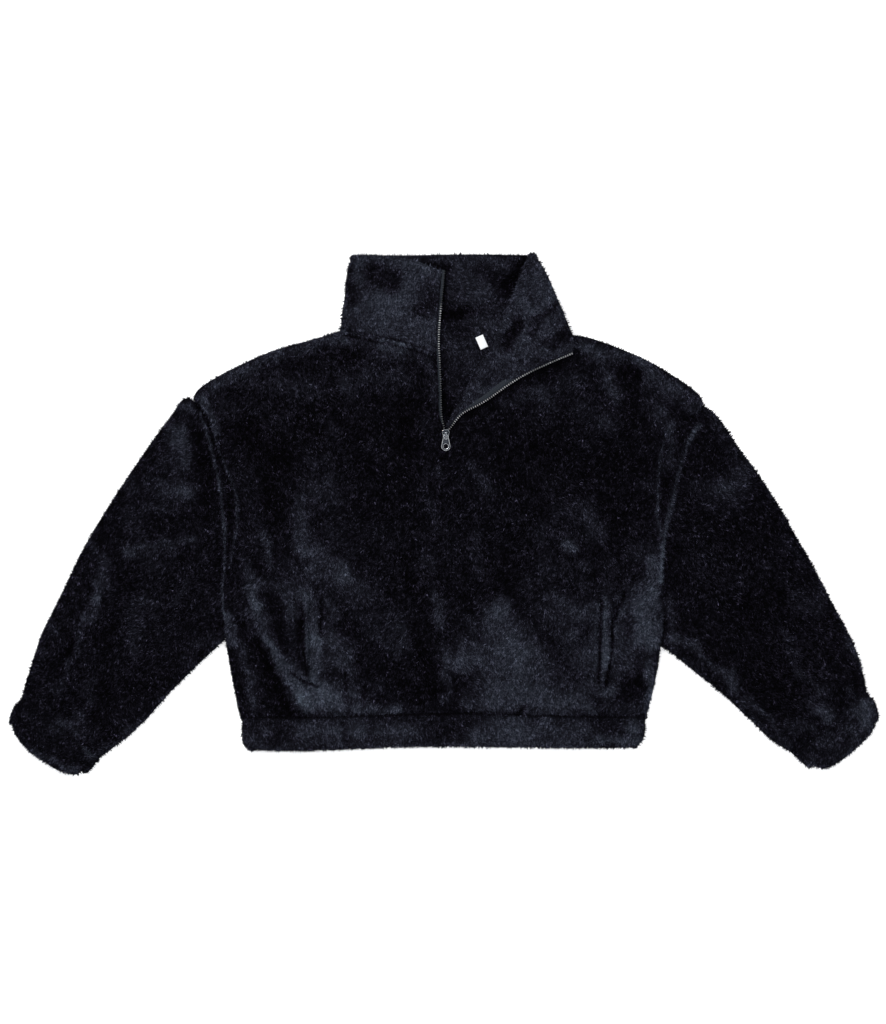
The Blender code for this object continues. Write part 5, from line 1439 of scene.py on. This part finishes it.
def along_path(points, spacing):
    """Stations evenly spaced along a smooth curve through points with heights, and their directions."""
    path = curve(points)
    share = np.arange(spacing / 2, path.length, spacing) / path.length
    step = path(np.minimum(share + 0.01, 1)) - path(np.maximum(share - 0.01, 0))
    return path(share), unit(step)


def repeated(shape, tris, places, along, across_side, jitter, seed):
    """Copies of a small shape at the places: its y runs along the path, its x across it, z up.

    Each copy is turned a little at random.  On the other side of the path the shape is mirrored, so
    its triangles are turned over.
    """
    rng = np.random.default_rng(seed)
    along = unit(along + rng.normal(0, jitter, along.shape))
    across = across_side * unit(np.stack([along[:, 1], -along[:, 0], np.zeros(len(along))], 1))
    up = np.cross(across, along) * across_side
    points = (places[:, None] + shape[None, :, :1] * across[:, None] + shape[None, :, 1:2] * along[:, None]
              + shape[None, :, 2:] * up[:, None])
    every = tris[None] + (np.arange(len(places)) * len(shape))[:, None, None]
    every = every.reshape(-1, 3)
    return points.reshape(-1, 3), every[:, ::-1] if across_side < 0 else every


# Teeth: the random turn of each, and how much their painted glint differs from tooth to tooth
TOOTH_JITTER = 0.05
TOOTH_SHINES = (0.6, 1.15)


def zip_teeth(name, table, shine, side, seed):
    """A row of teeth along the zip's edge, painted brighter and duller along it as highlight and shade, each
    tooth by its own share too.
    """
    places, along = along_path(table, TEETH_PITCH)
    shape, faces = tooth_mesh()
    points, tris = repeated(shape, faces, places, along, side, TOOTH_JITTER, seed)
    bright = np.interp(np.linspace(0, 1, len(places)), *np.transpose(shine))
    bright *= np.random.default_rng(seed).uniform(*TOOTH_SHINES, len(places))
    colours = np.ones((len(points), 4))
    colours[:, :3] = TEETH_COLOUR * np.clip(np.repeat(bright, len(shape)), 0, 1)[:, None]
    obj = mesh_object(name, points, tris, TEETH_MATERIAL, colours, smooth=False)
    return on_garment(obj)


# Along each row of teeth, by share of its length: how bright they are painted (highlight and shade), and
# the tape's width inside them
SHINE_RIGHT = ((0, 0.03), (0.2, 0.04), (0.24, 1.0), (0.5, 0.7), (0.58, 0.18), (0.8, 0.10), (1, 0.18))
SHINE_LEFT = (
    (0, 0.6), (0.15, 0.7), (0.5, 0.75), (0.56, 1.1), (0.64, 1.0), (0.7, 0.45), (0.78, 0.4), (0.82, 0.7),
    (1, 0.8))
TAPE_RIGHT_WIDTHS = ((0, 3.2), (1, 3.2))
TAPE_LEFT_WIDTHS = ((0, 2.2), (0.18, 3.6), (0.3, 7.0), (0.52, 8.6), (0.58, 4.4), (1, 4.4))

# The tape: its step along the teeth, how far it reaches beyond them and lies under them, its half
# thickness and rim.  Then the width from which it climbs, over what more width the climb grows full, and
# over what distance from the teeth it is made
TAPE_STEP = 1.6
TAPE_BEYOND = 0.4
TAPE_UNDER = 1.0
TAPE_HALF = 0.4
TAPE_RIM = 0.7
CLIMB_FROM = 3.0
CLIMB_GROWS = 4.0
CLIMB_OVER = 3.4


def zip_tape(name, table, widths, side, node, climb):
    """Woven tape under the teeth, from beyond them to under the plush; returns its middle surface.

    Where it is wide it climbs, by up to this much, in a straight line over the first few millimetres
    from the teeth.
    """
    path = curve(table)
    share = np.arange(0, path.length, TAPE_STEP) / path.length
    places, step = path(share), path(np.minimum(share + 0.01, 1)) - path(np.maximum(share - 0.01, 0))
    flat = np.stack([step[:, 1], -step[:, 0]], 1)
    across = side * unit(flat)
    inner = np.interp(share, *np.transpose(widths))
    reach = np.linspace(0, 1, 12)[None, :]
    out = TAPE_BEYOND - (inner[:, None] + TAPE_BEYOND) * reach
    rise = climb * np.clip((inner - CLIMB_FROM) / CLIMB_GROWS, 0, 1)[:, None]
    lift = -TAPE_UNDER + rise * np.clip(-out / CLIMB_OVER, 0, 1)
    plan = places[:, None, :2] + across[:, None] * out[..., None]
    grid = raised(plan, places[:, None, 2] + lift)
    cloth = wall([grid], TAPE_HALF, TAPE_RIM)
    obj = mesh_object(name, cloth.points, cloth.tris, TAPE_MATERIAL)
    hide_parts(node)
    on_garment(obj)
    return grid


# Stitches: their height over the tape's middle, half their length as a share of their spacing, their
# thread's radius, and their random turn
STITCH_HEIGHT = 0.55
STITCH_SHARE = 0.36
STITCH_RADIUS = 0.22
STITCH_JITTER = 0.06


def stitches(name, grid, columns, spacing, seed):
    """Rows of sewing thread lying on a strip: one short rounded stitch after another."""
    shapes = []
    for column in columns:
        line = grid[:, column] + np.array([0, 0, STITCH_HEIGHT])
        places, along = along_path(line[::3], spacing)
        bar = bar_mesh(spacing * STITCH_SHARE, STITCH_RADIUS)
        shapes.append(repeated(*bar, places, along, 1.0, STITCH_JITTER, seed))
    first = np.cumsum([0] + [len(points) for points, _ in shapes[:-1]])
    points = np.concatenate([points for points, _ in shapes])
    tris = np.concatenate([tris + offset for (_, tris), offset in zip(shapes, first)])
    return on_garment(mesh_object(name, points, tris, THREAD_MATERIAL, smooth=False))


def bar_mesh(half_length, radius):
    """A short bar along y, six-sided, for a stitch; the outer three tenths of each half get narrower."""
    angles = np.arange(6) * np.pi / 3
    rings = []
    for share, grow in ((-1.0, 0.4), (-0.7, 1), (0.7, 1), (1.0, 0.4)):
        wide, high = radius * grow * np.cos(angles), radius * grow * np.sin(angles)
        rings.append(np.column_stack([wide, np.full(6, share * half_length), high]))
    points, tris = capped_rings(rings)
    return points, tris[:, ::-1]


zip_tape("tape_right", TEETH_RIGHT, TAPE_RIGHT_WIDTHS, -1.0, "zip_tape_right", 0.0)
left_tape = zip_tape("tape_left", TEETH_LEFT, TAPE_LEFT_WIDTHS, 1.0, "zip_tape_left", 3.1)
stitches("tape_stitches", left_tape, (6, 9), 2.4, 71)
zip_teeth("teeth_right", TEETH_RIGHT, SHINE_RIGHT, -1.0, 61)
zip_teeth("teeth_left", TEETH_LEFT, SHINE_LEFT, 1.0, 62)


# Rounding of the metal's edges and the joining of its triangles, in millimetres, and the angle up to
# which faces count as one flat face
METAL_BEVEL = 0.45
JOIN_DISTANCE = 0.005
FLAT_ANGLE = math.radians(2)


def finish_node(node, material, bevel=0.0):
    """A CAD node that keeps its place: its better material, and its edges rounded and painted bright as a
    highlight.

    Its loose triangles are joined and its flat faces made whole, so that the rounding finds the edges.
    The rounded strips take the last material, which is the painted highlight.
    """
    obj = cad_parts[node]
    for place in obj.material_slots:
        place.material = material
    if bevel:
        obj.data.materials.append(HIGHLIGHT_MATERIAL)
        joined = obj.modifiers.new("joined", "WELD")
        joined.merge_threshold = JOIN_DISTANCE * MM
        flattened = obj.modifiers.new("flattened", "DECIMATE")
        flattened.decimate_type = "DISSOLVE"
        flattened.angle_limit = FLAT_ANGLE
        rounding = obj.modifiers.new("edges", "BEVEL")
        rounding.width = bevel * MM
        rounding.segments = 2
        rounding.limit_method = "ANGLE"
        rounding.material = len(obj.data.materials) - 1


finish_node("zip_slider", METAL_MATERIAL, METAL_BEVEL)
finish_node("zip_pull", METAL_MATERIAL, METAL_BEVEL)
finish_node("neck_label", LABEL_MATERIAL)


# Camera, floor and light, in metres: the height that the picture shows, and where the camera stands
PICTURE_HEIGHT = 1.31072
CAMERA_PLACE = (-0.00131, 0.00273, 6.0)
FLOOR_DEPTH = 0.0002
KEY_PLACE = (-1.5, 1.9, 2.0)
WORLD_LIGHT = 0.9
KEY_LIGHT = 60.0
FLOOR_GLOW = 0.6


def aim(obj, target):
    """Turn a light to face a point."""
    direction = np.array(target, float) - np.array(obj.location)
    flat = math.hypot(direction[0], direction[1])
    turn = math.atan2(direction[1], direction[0]) - math.pi / 2
    obj.rotation_euler = (math.atan2(flat, -direction[2]), 0, turn)


def camera_and_stage():
    """Camera straight above, far off; a pale floor; soft light from all round and a key from upper left."""
    camera = bpy.data.cameras.new("camera")
    camera.sensor_fit = "VERTICAL"
    camera.sensor_height = 36
    camera.lens = camera.sensor_height * CAMERA_PLACE[2] / PICTURE_HEIGHT
    camera.clip_end = 30
    camera_object = bpy.data.objects.new("camera", camera)
    camera_object.location = CAMERA_PLACE
    bpy.context.collection.objects.link(camera_object)
    bpy.context.scene.camera = camera_object

    mesh = bpy.data.meshes.new("floor")
    mesh.from_pydata([(-4, -4, 0), (4, -4, 0), (4, 4, 0), (-4, 4, 0)], [], [(0, 1, 2, 3)])
    floor = bpy.data.objects.new("floor", mesh)
    floor.location.z = -FLOOR_DEPTH
    bpy.context.collection.objects.link(floor)
    mat, _, _, shader = new_material("floor_white", 1.0, specular=0.0)
    shader.inputs["Base Color"].default_value = (0.9, 0.9, 0.9, 1)
    shader.inputs["Emission Color"].default_value = (1, 1, 1, 1)
    shader.inputs["Emission Strength"].default_value = FLOOR_GLOW
    mesh.materials.append(mat)

    world = bpy.data.worlds.new("studio")
    world.use_nodes = True
    background = world.node_tree.nodes["Background"]
    background.inputs["Color"].default_value = (0.95, 0.97, 1.0, 1)
    background.inputs["Strength"].default_value = WORLD_LIGHT
    bpy.context.scene.world = world

    key = bpy.data.lights.new("key", "AREA")
    key.shape = "DISK"
    key.size = 1.6
    key.energy = KEY_LIGHT
    key_object = bpy.data.objects.new("key", key)
    key_object.location = KEY_PLACE
    bpy.context.collection.objects.link(key_object)
    aim(key_object, (0, 0, 0))


bpy.context.scene.view_settings.view_transform = "Standard"
camera_and_stage()
